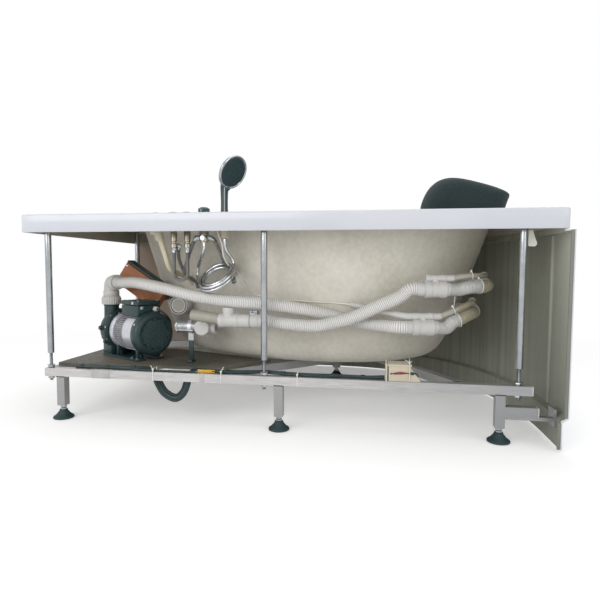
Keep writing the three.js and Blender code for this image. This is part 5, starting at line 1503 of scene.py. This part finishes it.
def make_inline_heater():
    form = Form()
    start = at(HEATER_X, HEATER_Y, HEATER_Z)
    end = at(HEATER_X + 46, HEATER_Y, HEATER_Z)
    form.lathe([
        (15, -46), (19, -46), (20, -45), (20, -40), (19.2, -39), (19.2, -20), (20, -19), (20, -16),
        (19.2, -15), (19.2, 26), (15, 26),
    ], start, ALONG, "brushed_steel", 40, loop=True)
    for lift in (9, -10):
        spot = at(HEATER_X - 42, HEATER_Y - 17.4, HEATER_Z + lift)
        form.bar(2.4, 56, spot, ALONG, "zinc_plate", 12)
    form.box((HEATER_X - 40, HEATER_Y - 20.8, HEATER_Z - 15), (3, 6, 30), "zinc_plate", 1)
    form.lathe([
        (0, 30), (25, 30), (25, -24), (24.4, -27.4), (22.6, -29.6), (20, -30), (0, -30),
    ], end, INWARD, "moulded_pvc", 44)
    form.lathe([
        (15, 0), (22, 0), (22, 26), (20.6, 27), (20.6, 29), (22, 30), (22, 39), (21, 40), (15, 40),
    ], end, ALONG, "moulded_pvc", 40, loop=True)
    form.box((HEATER_X - 6, HEATER_Y - 2.5, BOARD_TOP), (16, 5, 97), "textured_plastic", 1)
    form.box((HEATER_X - 6, HEATER_Y - 17, BOARD_TOP), (16, 34, 5), "textured_plastic", 1)
    form.box((HEATER_X - 7, HEATER_Y - 3.5, 232), (18, 7, 24), "moulded_pvc", 1.4)
    form.lathe(
        [(19.4, 0), (21.4, 0), (21.4, 12), (19.4, 12)], at(HEATER_X - 4, HEATER_Y, HEATER_Z), ALONG,
        "rolled_aluminium", 36, loop=True,
    )
    for side in (-12, 12):
        form.nut(at(HEATER_X + 2, HEATER_Y + side, 168.6), UP, 4.4, 3.4, "zinc_plate")
    form.make("heater", replaces=("inline_heater",), slot="steel")


def wall_at(x, z, off=0.0):
    spot = Vector((x, 40, z))
    return at(x, 40 + reach_to_basin(spot, INWARD) - off, z)


WASTE = Vector((384, 236, 338))


def make_waste():
    form = Form()
    rows = []
    for radius, out in (
        (20, 0), (23.6, 0), (24.6, 1), (24.6, 4), (27.6, 4), (27.6, 0), (30, 0), (31, 1.4), (31, 15),
        (28, 17),
    ):
        rows.append([at(*spot) for spot in ring_round(WASTE + INWARD * out, ALONG, UP, radius, 40)])
    circle = ring_round(WASTE, ALONG, UP, 28, 40)
    rows.append([at(*(spot + INWARD * (reach_to_basin(spot, INWARD) + 0.5))) for spot in circle])
    form.rings(rows, "moulded_pvc", caps=(False, False))
    form.lathe([(20, 0), (20, 48), (0, 48)], at(*WASTE), INWARD, "extruded_pvc", 40)
    form.lathe(
        [(24.4, 2.6), (25.6, 1.6), (27, 1.6), (27.8, 2.6), (27, 3.8), (25.4, 3.8)], at(*WASTE), INWARD,
        "moulded_rubber", 40, loop=True,
    )
    form.make("waste_pipe", replaces=("waste_outlet",))


make_pipe_tee()
make_inline_heater()
make_waste()


# Valves under the deck, with knobs, button and sleeve on it

# Valve body, hung from the deck by its drop; the diverter has two side arms and a port
def make_valve(name, node, x, radius, drop, armed):
    form = Form()
    bottom = RIM_TOP - drop
    top = DECK_UNDER - 0.3
    small = min(radius, 9.5)
    form.lathe([
        (0, bottom), (radius * 0.84, bottom), (radius * 0.84, bottom + 2), (radius, bottom + 3),
        (radius, bottom + 13), (radius * 0.8, bottom + 15), (radius * 0.8, bottom + 19),
        (radius, bottom + 21), (radius, top - 17), (radius * 0.9, top - 12.4), (0, top - 12.4),
    ], at(x, FITTINGS_Y, 0), UP, "turned_brass", 32)
    form.bar(radius * 1.02, 10, at(x, FITTINGS_Y, bottom + 3), UP, "zinc_plate", 6)
    form.nut(at(x, FITTINGS_Y, top - 12), UP, 17, 7.6, "turned_brass")
    form.lathe(
        [(0, 0), (18.4, 0), (19, 0.8), (19, 3), (0, 3)], at(x, FITTINGS_Y, top - 4.2), UP, "moulded_rubber",
        32,
    )
    form.bar(small, 8, at(x, FITTINGS_Y, top - 1.4), UP, "turned_brass", 24)
    form.lathe(
        [(0, 0), (19.4, 0), (20, 0.6), (19.2, 2.2), (16, 3), (0, 3)], at(x, FITTINGS_Y, RIM_TOP + 0.3), UP,
        "chrome_plate", 40,
    )
    form.lathe(
        [(0, 0), (4.9, 0), (4.9, 7.6), (4.2, 8.2), (0, 8.2)], at(x, FITTINGS_Y, RIM_TOP + 0.3), UP,
        "chrome_plate", 20,
    )
    if armed:
        for sign in (-1, 1):
            out = Vector((sign, 0, 0))
            form.lathe(
                [(0, 8), (6, 8), (6, 13), (7.4, 14), (7.4, 20), (6.4, 22), (0, 22)],
                at(x, FITTINGS_Y, RIM_TOP - 64), out, "zinc_plate", 6,
            )
        form.lathe(
            [(0, 0), (9, 0), (9, 3), (7, 4.4), (7, 7), (0, 7)], at(x, FITTINGS_Y - 9, RIM_TOP - 66),
            WALLWARD, "zinc_plate", 24,
        )
    form.make(name, replaces=(node,), slot="brass")


def make_knob(name, node, body, x, height, tall):
    form = Form()
    low = RIM_TOP + 3.6
    shoulder = (14.6, height - 1.2, 0) if not tall else (15.2, height - 3.4, 0)
    form.grip([
        (5.4, 0, 0), (16, 0, 0), (17, 1, 1), (17, height - (2.6 if not tall else 5), 1), shoulder,
        (10, height - 0.3, 0), (3, height, 0), (0, height, 0),
    ], at(x, FITTINGS_Y, low), UP, "shaded_chrome", 12, 0.9)
    form.bar(5.4, 0.6, at(x, FITTINGS_Y, low), UP, "shaded_chrome", 24)
    form.lathe(
        [(0, 0), (1.7, 0), (1.4, 0.5), (0, 0.6)], at(x + 10, FITTINGS_Y, low + height - 0.9), UP,
        "white_nylon", 14,
    )
    form.make(name, body, replaces=(node,), slot="chrome")


def make_button():
    form = Form()
    form.lathe([
        (0, 591), (13.4, 591), (13.4, 619), (17, 619.4), (17, 622.4), (16, 623.8), (13.6, 624.3),
        (12.6, 623.4), (0, 622.8),
    ], at(BUTTON_X, FITTINGS_Y, 0), UP, "chrome_plate", 44)
    form.make("pump_button", "button", replaces=("air_button",))


def make_sleeve():
    form = Form()
    form.lathe([
        (5.2, 549), (12.6, 549), (14, 550.4), (14, 572), (15.4, 573), (15.4, 590), (14, 592), (14, 615.3),
        (19.6, 615.3), (20, 616), (20, 618.6), (19.4, 619.2), (11.6, 619.2), (11.4, 585.2), (5.2, 584),
    ], at(SHOWER_X, SHOWER_Y, 0), UP, "cream_plastic", 40, loop=True)
    form.nut(at(SHOWER_X, SHOWER_Y, DECK_UNDER - 12.3), UP, 20, 12, "cream_plastic", bore=14)
    form.make("hose_sleeve", replaces=("shower_sleeve",))


def make_drain_plug():
    form = Form()
    form.lathe([
        (0, 152.4), (21, 152.4), (21.4, 153), (21.4, 170), (29.4, 170.4), (30, 171.2), (29.6, 173),
        (26, 174.6), (14, 175.3), (0, 175.3),
    ], at(640, 560, 0), UP, "chrome_plate", 48)
    form.make("basin_plug", "plug", replaces=("drain_plug",))


make_valve("valve_hot", "hot_valve", HOT_X, 9.5, 96, False)
make_valve("valve_cold", "cold_valve", COLD_X, 9.5, 96, False)
make_valve("valve_diverter", "diverter_valve", DIVERTER_X, 13.5, 79, True)
make_knob("knob_hot", "hot_knob", "hot_tap", HOT_X, 7, False)
make_knob("knob_cold", "cold_knob", "cold_tap", COLD_X, 7, False)
make_knob("knob_diverter", "diverter_knob", "diverter_tap", DIVERTER_X, 20, True)
make_button()
make_sleeve()
make_drain_plug()


# Hand shower: a handle that swells into the head, and a sprayed face

HEAD_TILT = math.radians(118)
HANDSET = placed(SHOWER_X, SHOWER_Y, 0, math.radians(-28))


def make_hand_shower():
    form = Form()
    stops = [
        (0, 585.3, 10.6), (0, 600, 10.8), (0, 619.4, 10.8), (0, 620, 11.8), (0, 634, 10.6), (0, 655, 10.4),
        (0, 678, 11.2), (1, 696, 12.6), (5, 711, 14.4), (12, 724, 15.6), (19, 734, 15), (23, 740, 11),
    ]
    rings = []
    line = [HANDSET @ Vector((x, 0, z)) for x, z, _ in stops]
    for (point, side, other), (_, _, radius) in zip(frames_along(line), stops):
        rings.append(ring_round(point, side, other, radius / 1000, 32))
    form.rings(rings, "chrome_plate")
    # Two black bands set just inside the chrome handle, showing along one side: painted reflections of the
    # dark room
    for turn, inset, shift in ((-1.95, 1.4, 1.72), (-0.62, 1.1, 1.26)):
        toward = Vector((math.cos(turn), math.sin(turn), 0)) * shift
        painted_reflection_band = []
        for (point, side, other), (_, _, radius) in list(zip(frames_along(line), stops))[3:10]:
            painted_reflection_band.append(ring_round(point + toward / 1000, side, other, (radius - inset) / 1000, 48))
        form.rings(painted_reflection_band, "textured_plastic")
    axis = HANDSET.to_3x3() @ Vector((math.sin(HEAD_TILT), 0, math.cos(HEAD_TILT)))
    centre = HANDSET @ Vector((30, 0, 739))
    form.lathe([
        (0, -11), (12, -10.8), (26, -9.4), (38, -5.6), (46, -0.6), (49.4, 3.4), (50, 6), (49.4, 8.6),
        (47.6, 10.2), (45, 10.4), (43.6, 9), (0, 9),
    ], centre, axis, "chrome_plate", 64)
    form.lathe(
        [(0, 9.2), (36, 9.2), (42.4, 8.6), (42.6, 9.6), (36, 10.4), (0, 10.6)], centre, axis,
        "textured_plastic", 56,
    )
    side, other, forward = axes_along(axis)
    for ring, count in ((10, 6), (19, 12), (28, 18), (36, 24)):
        for spot in ring_round(centre + forward * 0.0102, side, other, ring / 1000, count):
            form.lathe([(0, 0), (1.3, 0), (1, 1), (0, 1.1)], spot, axis, "moulded_rubber", 8)
    nub = HANDSET @ Vector((12.4, 0, 690))
    form.lathe(
        [(0, -3), (5, -3), (5.4, 3), (4.4, 7), (2.6, 8.4), (0, 8.6)], nub,
        HANDSET.to_3x3() @ Vector((0.86, 0, 0.2)), "shaded_chrome", 20,
    )
    form.make("hand_shower_body", "handset", sharp=34, replaces=("hand_shower",), slot="chrome")


make_hand_shower()


# Braided and plain hoses under the deck

def fitted_hose(form, route, finish, radius, ends, sides=14):
    line = evenly(smooth_line(route, 0.003), 0.003)
    form.tube(line, radius, finish, sides)
    for end, ordered in zip(ends, (line, line[::-1])):
        if end:
            form.tube(ordered[:5], radius + 1.1, end, 20)
            heading = (ordered[1] - ordered[0]).normalized()
            form.nut(ordered[0] - heading * 0.002, heading, radius + 2.6, 8, end)


def make_hoses_under_deck():
    form = Form()
    low = RIM_TOP - 190
    middle, bend = (HOT_X + COLD_X) / 2, (COLD_X - HOT_X) / 2
    route = [(HOT_X, FITTINGS_Y, 518.7), (HOT_X, FITTINGS_Y, low + 42)]
    for k in range(7):
        angle = math.pi + math.pi * k / 6
        route.append((middle + bend * math.cos(angle), FITTINGS_Y, low + bend + bend * math.sin(angle)))
    route += [(COLD_X, FITTINGS_Y, low + 42), (COLD_X, FITTINGS_Y, 518.7)]
    fitted_hose(form, points(route), "wire_braid", 5.2, ("zinc_plate", "zinc_plate"))
    form.make("supply_link_hose", replaces=("link_hose",), slot="braid")
    more = Form()
    for route, stops in (
        (
            [(507, 90, 551), (498, 92, 543), (484, 98, 518), (466, 112, 482), (452, 130, 448)],
            [(446, 415, 14), (444, 400, 1)],
        ),
        (
            [(549, 90, 551), (560, 92, 541), (570, 98, 516), (578, 112, 486)],
            [(584, 440, 12), (586, 418, 1)],
        ),
        (
            [(446, 101, 528), (440, 108, 500), (444, 122, 466), (456, 142, 436)],
            [(470, 404, 14), (476, 392, 1)],
        ),
    ):
        route = [*points(route), *(wall_at(*stop) for stop in stops)]
        fitted_hose(more, route, "wire_braid", 5.2, ("zinc_plate", "zinc_plate"))
    more.bar(6, 16, at(HOT_X, FITTINGS_Y, 528), Vector((0.75, 0.66, 0)), "turned_brass", 16)
    more.make("braided_hoses", slot="braid")
    cream = Form()
    cream.lathe([
        (0, 0), (17, 0), (18, 1), (18, 9), (15.8, 10), (15.8, 24), (14.6, 24), (14.6, 1), (0, 1),
    ], at(BUTTON_X, FITTINGS_Y, 584), UP, "cream_plastic", 32)
    elbow = [at(BUTTON_X, FITTINGS_Y, 584.6), at(384.6, 90.6, 572), at(386.5, 92.6, 556), at(389, 95, 545)]
    cream.tube(smooth_line(elbow, 0.003), 13, "cream_plastic", 28)
    cream.bar(10.6, 22, at(385, 91, 568), Vector((-1, 0, 0.1)), "cream_plastic", 24)
    tail = points([(388, 94, 552), (392, 98, 534), (400, 106, 500), (408, 122, 460)])
    fitted_hose(
        cream, [*tail, wall_at(414, 428, 16), wall_at(418, 410, 1)], "cream_hose", 8.6,
        (None, "cream_plastic"), 20,
    )
    cream.make("vent_hose")
    thin = Form()
    route = points([
        (555, 84, 608), (562, 84, 590), (574, 86, 556), (583, 90, 527), (584, 96, 500), (590, 116, 474),
    ])
    for x, z in (
        (604, 446), (624, 412), (650, 386), (690, 372), (740, 366), (800, 364), (860, 362), (910, 360),
    ):
        route.append(wall_at(x, z, 4.2))
    route += points([(940, 140, 358.4), (956, 136.4, 357)])
    thin.tube(smooth_line(route, 0.004), 2.3, "polythene", 12)
    thin.make("air_feed_tube")


make_hoses_under_deck()


# Control box on the basin's wall, and the light box on the rail

def make_control_box():
    form = Form()
    place = placed(222, 301, 404, math.radians(33.8), "Y")
    form.box((-85.5, 0, -47), (171, 44, 80.5), "flecked_brown_plastic", 2.4, place, 3)
    form.box((-88, 4, 32.6), (176, 45, 9.8), "textured_plastic", 2, place, 3)
    for x in (-78, 78):
        for z in (-39, 24):
            spot = place @ Vector((x, -0.2, z))
            form.lathe([(0, -1), (3.6, -1), (3.2, 0.8), (0, 1.1)], spot, WALLWARD, "zinc_plate", 16)
    for x in (20, 44, 68):
        spot = place @ Vector((x, 22, -46.9))
        down = place.to_3x3() @ Vector((0, 0, -1))
        form.nut(spot, down, 8, 5, "textured_plastic")
        form.lathe([(0, 4), (6, 4), (6.4, 7), (5, 11), (0, 11)], spot, down, "textured_plastic", 20)
        lead = [
            spot, spot + down.normalized() * 0.02,
            spot + down.normalized() * 0.04 + Vector((0.004, 0.004, -0.02)),
        ]
        end = at(196 + x * 0.4, 384, 210)
        lead += [
            end.lerp(lead[-1], 0.5) + Vector((0, 0.006, 0)), end, at(190 + x * 0.4, 390, 178),
            at(180 + x * 0.4, 384, 166.2),
        ]
        form.tube(smooth_line(lead, 0.006), 2.7, "cable_sheath", 10)
    near = []
    far = []
    for x, z in ((30, -22), (74, -22), (74, 22), (30, 22)):
        corner = place @ Vector((x, 44, z))
        near.append(corner)
        spot = (corner - at(0, 0, 0)) * 1000
        far.append(corner + INWARD * ((reach_to_basin(spot, INWARD) + 0.4) / 1000))
    form.rings([near, far], "flecked_brown_plastic")
    form.make("control_cabinet", replaces=("control_box",), sharp=30)


def make_light_box():
    form = Form()
    form.box((1066, 44.4, 155.4), (60, 53, 43), "cream_plastic", 1.6)
    form.box((1064, 42.6, 196.4), (64, 57, 6), "cream_plastic", 1.6)
    form.box((1057.6, 41.6, 155.4), (5.4, 59, 49), "cream_plastic", 1.4)
    form.box((1062.6, 46, 158), (3.6, 49, 38), "textured_plastic", 0.4)
    wedge = [(1126, 192), (1126, 155.4), (1151, 155.4), (1151, 158)]
    form.rings([[PLAIN @ Vector((x, y, z)) for x, z in wedge] for y in (46, 66)], "cream_plastic")
    form.bar(2.6, 1, at(1073, 44.8, 176.4), WALLWARD, "textured_plastic", 14)
    for lift in (2.4, 0, -2.6):
        route = points([
            (1073, 43.4, 176.4), (1080, 41.8, 177.4 + lift * 0.5), (1097, 41.4, 179.4 + lift),
            (1114, 41.6, 179.4 + lift * 0.3), (1127, 42.6, 179),
        ])
        form.tube(smooth_line(route, 0.003), 0.9, "red_sheath", 8)
    lead = points([(1126, 42.8, 179), (1134, 48, 178), (1141, 62, 174), (1146, 76, 166)])
    form.tube(smooth_line(lead, 0.003), 2.6, "cable_sheath", 10)
    form.bar(3.6, 9, at(1125, 42.6, 179), ALONG, "moulded_rubber", 14)
    for end in ((1109, 44, 216), (1128, 52, 211), (1121, 48, 219)):
        strand = points([(1121, 46, 200.6), (1121.5, 46.4, 207), end])
        form.tube(smooth_line(strand, 0.003), 0.9, "white_nylon", 8)
    form.tube(points([(1122, 41.6, 160), (1122, 41.6, 202.4)]), 1.1, "white_nylon", 8)
    form.make("light_box_dressed", replaces=("light_box",), slot="cream_plastic")


make_control_box()
make_light_box()


# Wiring: cables tied along the rail, with the loop that hangs below it

LOOM = [
    (128, 62, 160.2), (200, 62, 160.2), (290, 62, 160.2), (330, 67, 161), (352, 78, 158), (370, 82, 142),
    (384, 82, 112), (404, 82, 84), (440, 82, 70), (464, 82, 88), (476, 82, 118), (484, 81, 146),
    (498, 76, 161), (522, 68, 161.5), (560, 62, 160.2), (620, 62, 160.2), (680, 70, 160.6), (716, 76, 161),
    (752, 70, 160.6), (840, 62, 160.2), (930, 62, 160.2), (1020, 62, 160.2), (1056, 62, 162),
]


def make_loom():
    form = Form()
    middle = evenly(smooth_line(points(LOOM), 0.004), 0.006)
    frames = frames_along(middle)
    for k in range(6):
        line = []
        for i, (point, side, other) in enumerate(frames):
            slack = min(1.0, max(0.0, (0.152 - point.z) / 0.03))
            reach = 0.0028 + 0.0074 * slack
            angle = FULL * k / 6 + 0.03 * i * (1 if k % 2 else 0.6)
            wander = 0.0008 * math.sin(0.21 * i + 2.3 * k)
            line.append(
                point + side * (math.cos(angle) * reach + wander) + other * (math.sin(angle) * reach)
            )
        form.tube(line, 3.1, "cable_sheath", 10)
    core = [point for point, side, other in frames]
    form.tube(
        core, 3, "cable_sheath", 10, swell=lambda k: 6.5 * min(1.0, max(0.0, (0.152 - core[k].z) / 0.03)),
    )
    spare = points([
        (306, 57, 160.4), (318, 53, 159.2), (400, 51.6, 158.9), (500, 52.4, 159), (512, 56, 160.2),
    ])
    form.tube(smooth_line(spare, 0.006), 3.1, "cable_sheath", 10)
    wraps = [0.02, 0.1, 0.18, 0.56, 0.72, 0.86, 0.94]
    for share in wraps:
        index = round(share * (len(middle) - 1))
        form.tube(middle[max(0, index - 1):index + 2], 6.9, "moulded_rubber", 18)
    form.make("cable_loom", replaces=("wiring_loom",), slot="cable")


def make_ties():
    form = Form()
    for x, lean, rise in ((384, -6, 9), (592, 9, 13), (814, 4, 6)):
        for low, size in (
            ((x - 1.4, 42.6, 128.6), (2.8, 1, 38)), ((x - 1.4, 42.6, 128.6), (2.8, 27.6, 1)),
            ((x - 1.4, 69.4, 128.6), (2.8, 1, 38)), ((x - 1.4, 42.6, 165.8), (2.8, 27.8, 1)),
        ):
            form.box(low, size, "white_nylon", 0.3)
        form.box((x - 2.6, 40.6, 161), (5.2, 4, 5.6), "white_nylon", 0.8)
        cut_end = points([(x, 42, 165), (x + lean * 0.4, 41, 170), (x + lean, 42, 166 + rise)])
        form.tube(smooth_line(cut_end, 0.003), 0.9, "white_nylon", 8)
    form.make("cable_ties")
    label = Form()
    label.box((517, 56, 156.4), (52, 1.2, 9), "label_film", 0.4)
    label.make("bare_label")
    tab = Form()
    shape = [(1418, 563), (1429, 563), (1433, 548), (1439.6, 530), (1439, 525), (1434, 521), (1418, 522)]
    tab.rings([[at(x, y, z) for x, z in shape] for y in (58.6, 61)], "polythene")
    tab.make("rim_tab")


make_loom()
make_ties()


# Headrest: moulded foam with a soft crown, flat only where it lies on the deck

PAD_X, PAD_Y, PAD_BASE, PAD_WIDTH, PAD_HEIGHT, PAD_LENGTH = 1298, 352, 598, 262, 147, 300
PAD_SIDE = [
    (0.425, 0.1), (0.442, 0.24), (0.468, 0.4), (0.496, 0.55), (0.502, 0.6), (0.478, 0.655), (0.37, 0.75),
    (0.24, 0.83), (0.1, 0.9), (-0.03, 0.955), (-0.14, 0.988), (-0.235, 0.993), (-0.32, 0.955),
    (-0.395, 0.86), (-0.45, 0.71), (-0.485, 0.53), (-0.5, 0.36), (-0.49, 0.18), (-0.42, 0.06),
    (-0.28, 0.01), (-0.05, 0), (0.18, 0.01), (0.35, 0.03),
]


def make_headrest():
    looped = [Vector((x, 0, z)) for x, z in PAD_SIDE]
    closed = smooth_line([*looped[-2:], *looped, *looped[:2]], 0.02)
    start = next(i for i, p in enumerate(closed) if (p - looped[0]).length < 1e-6)
    stop = next(i for i in range(len(closed) - 1, 0, -1) if (closed[i] - looped[0]).length < 1e-6)
    side = evenly(closed[start:stop + 1], 0.034)[:-1]
    middle = sum(looped, Vector()) / len(looped)
    rings = []
    sections = 44
    for k in range(sections + 1):
        angle = (k / sections - 0.5) * math.pi * 0.985
        size = math.cos(angle) ** 0.42
        across = math.sin(angle)
        dish = 0.022 * math.cos(angle) ** 2
        ring = []
        for p in side:
            share_x = middle.x + (p.x - middle.x) * size
            share_z = middle.z + (p.z - middle.z) * size
            if p.z > 0.5:
                share_z -= dish * math.sin(math.pi * min(1, max(0, (p.z - 0.5) * 2)))
            x = PAD_X + PAD_WIDTH * share_x
            y = PAD_Y + PAD_LENGTH / 2 * across
            z = PAD_BASE + PAD_HEIGHT * share_z
            reach = math.hypot(x - BASIN_X, y - BASIN_Y)
            edge = basin_radius(math.atan2(y - BASIN_Y, x - BASIN_X), 1, 1) - RIM_WALL
            if reach > edge - 2:
                z = max(z, RIM_TOP + 0.4)
            ring.append(at(x, y, z))
        rings.append(ring)
    form = Form()
    form.rings(rings, "foam_skin")
    pad = form.make("headrest_pad", sharp=60, replaces=("headrest",))


make_headrest()


# Lights, world, floor and backdrop

def make_light(name, place, target, size, energy):
    data = bpy.data.lights.new(name, "AREA")
    data.shape = "RECTANGLE"
    data.size, data.size_y = size
    data.energy = energy
    lamp = bpy.data.objects.new(name, data)
    bpy.context.scene.collection.objects.link(lamp)
    lamp.location = place
    lamp.rotation_euler = (target - place).to_track_quat("-Z", "Y").to_euler()


def seen_rays(tree):
    rays = add_node(tree, "LightPath")
    seen = add_node(
        tree, "Math", {0: rays.outputs["Is Camera Ray"], 1: rays.outputs["Is Glossy Ray"]},
        operation="MAXIMUM",
    )
    both = add_node(
        tree, "Math", {0: seen.outputs[0], 1: rays.outputs["Is Transmission Ray"]}, operation="MAXIMUM",
    )
    return both.outputs[0]


def make_world():
    world = bpy.data.worlds.new("studio")
    bpy.context.scene.world = world
    world.use_nodes = True
    tree = world.node_tree
    tree.nodes.clear()
    seen = seen_rays(tree)
    bright = add_node(tree, "Background", {"Color": (1, 1, 1, 1), "Strength": 1.0})
    soft = add_node(tree, "Background", {"Color": (1, 1, 1, 1), "Strength": 0.55})
    mixed = add_node(tree, "MixShader", {0: seen, 1: soft.outputs[0], 2: bright.outputs[0]})
    output = add_node(tree, "OutputWorld")
    tree.links.new(mixed.outputs[0], output.inputs[0])


# Floor that is white to the camera and still keeps the object's shadow
def make_floor():
    made = bpy.data.materials.new("floor_white")
    made.use_nodes = True
    tree = made.node_tree
    tree.nodes.clear()
    seen = seen_rays(tree)
    lift = multiply(tree, seen, 0.34)
    plain = add_node(tree, "BsdfDiffuse", {"Color": (0.86, 0.86, 0.86, 1)})
    glow = add_node(tree, "Emission", {"Color": (1, 1, 1, 1), "Strength": lift})
    near = add_node(tree, "AddShader", {0: plain.outputs[0], 1: glow.outputs[0]})
    place = add_node(tree, "TexCoord").outputs["Object"]
    out = add_node(tree, "VectorMath", {0: place}, operation="LENGTH").outputs["Value"]
    far = add_node(tree, "Emission", {"Color": (1, 1, 1, 1), "Strength": 1.0})
    share = multiply(tree, ramp(tree, out, 1.3, 2.6), seen)
    both = add_node(tree, "MixShader", {0: share, 1: near.outputs[0], 2: far.outputs[0]})
    output = add_node(tree, "OutputMaterial")
    tree.links.new(both.outputs[0], output.inputs[0])
    mesh = bpy.data.meshes.new("floor")
    disc = bmesh.new()
    bmesh.ops.create_circle(
        disc, cap_ends=True, radius=9, segments=64, matrix=Matrix.Translation((0, 0, -0.0004)),
    )
    disc.to_mesh(mesh)
    disc.free()
    mesh.materials.append(made)
    floor = bpy.data.objects.new("floor", mesh)
    bpy.context.scene.collection.objects.link(floor)


bpy.context.scene.view_settings.view_transform = "Standard"
make_world()
make_floor()
make_light("key_light", Vector((-1.7, -3.4, 1.5)), Vector((0.1, 0, 0.3)), (2.8, 2.0), 56)
make_light("top_light", Vector((0.3, 0.2, 3.4)), Vector((0, 0, 0.3)), (3.0, 2.4), 28)
make_light("fill_light", Vector((2.6, -2.4, 1.2)), Vector((0, 0, 0.3)), (2.2, 1.6), 15)


# The scratch mesh is no longer needed

bpy.data.meshes.remove(JOINING)
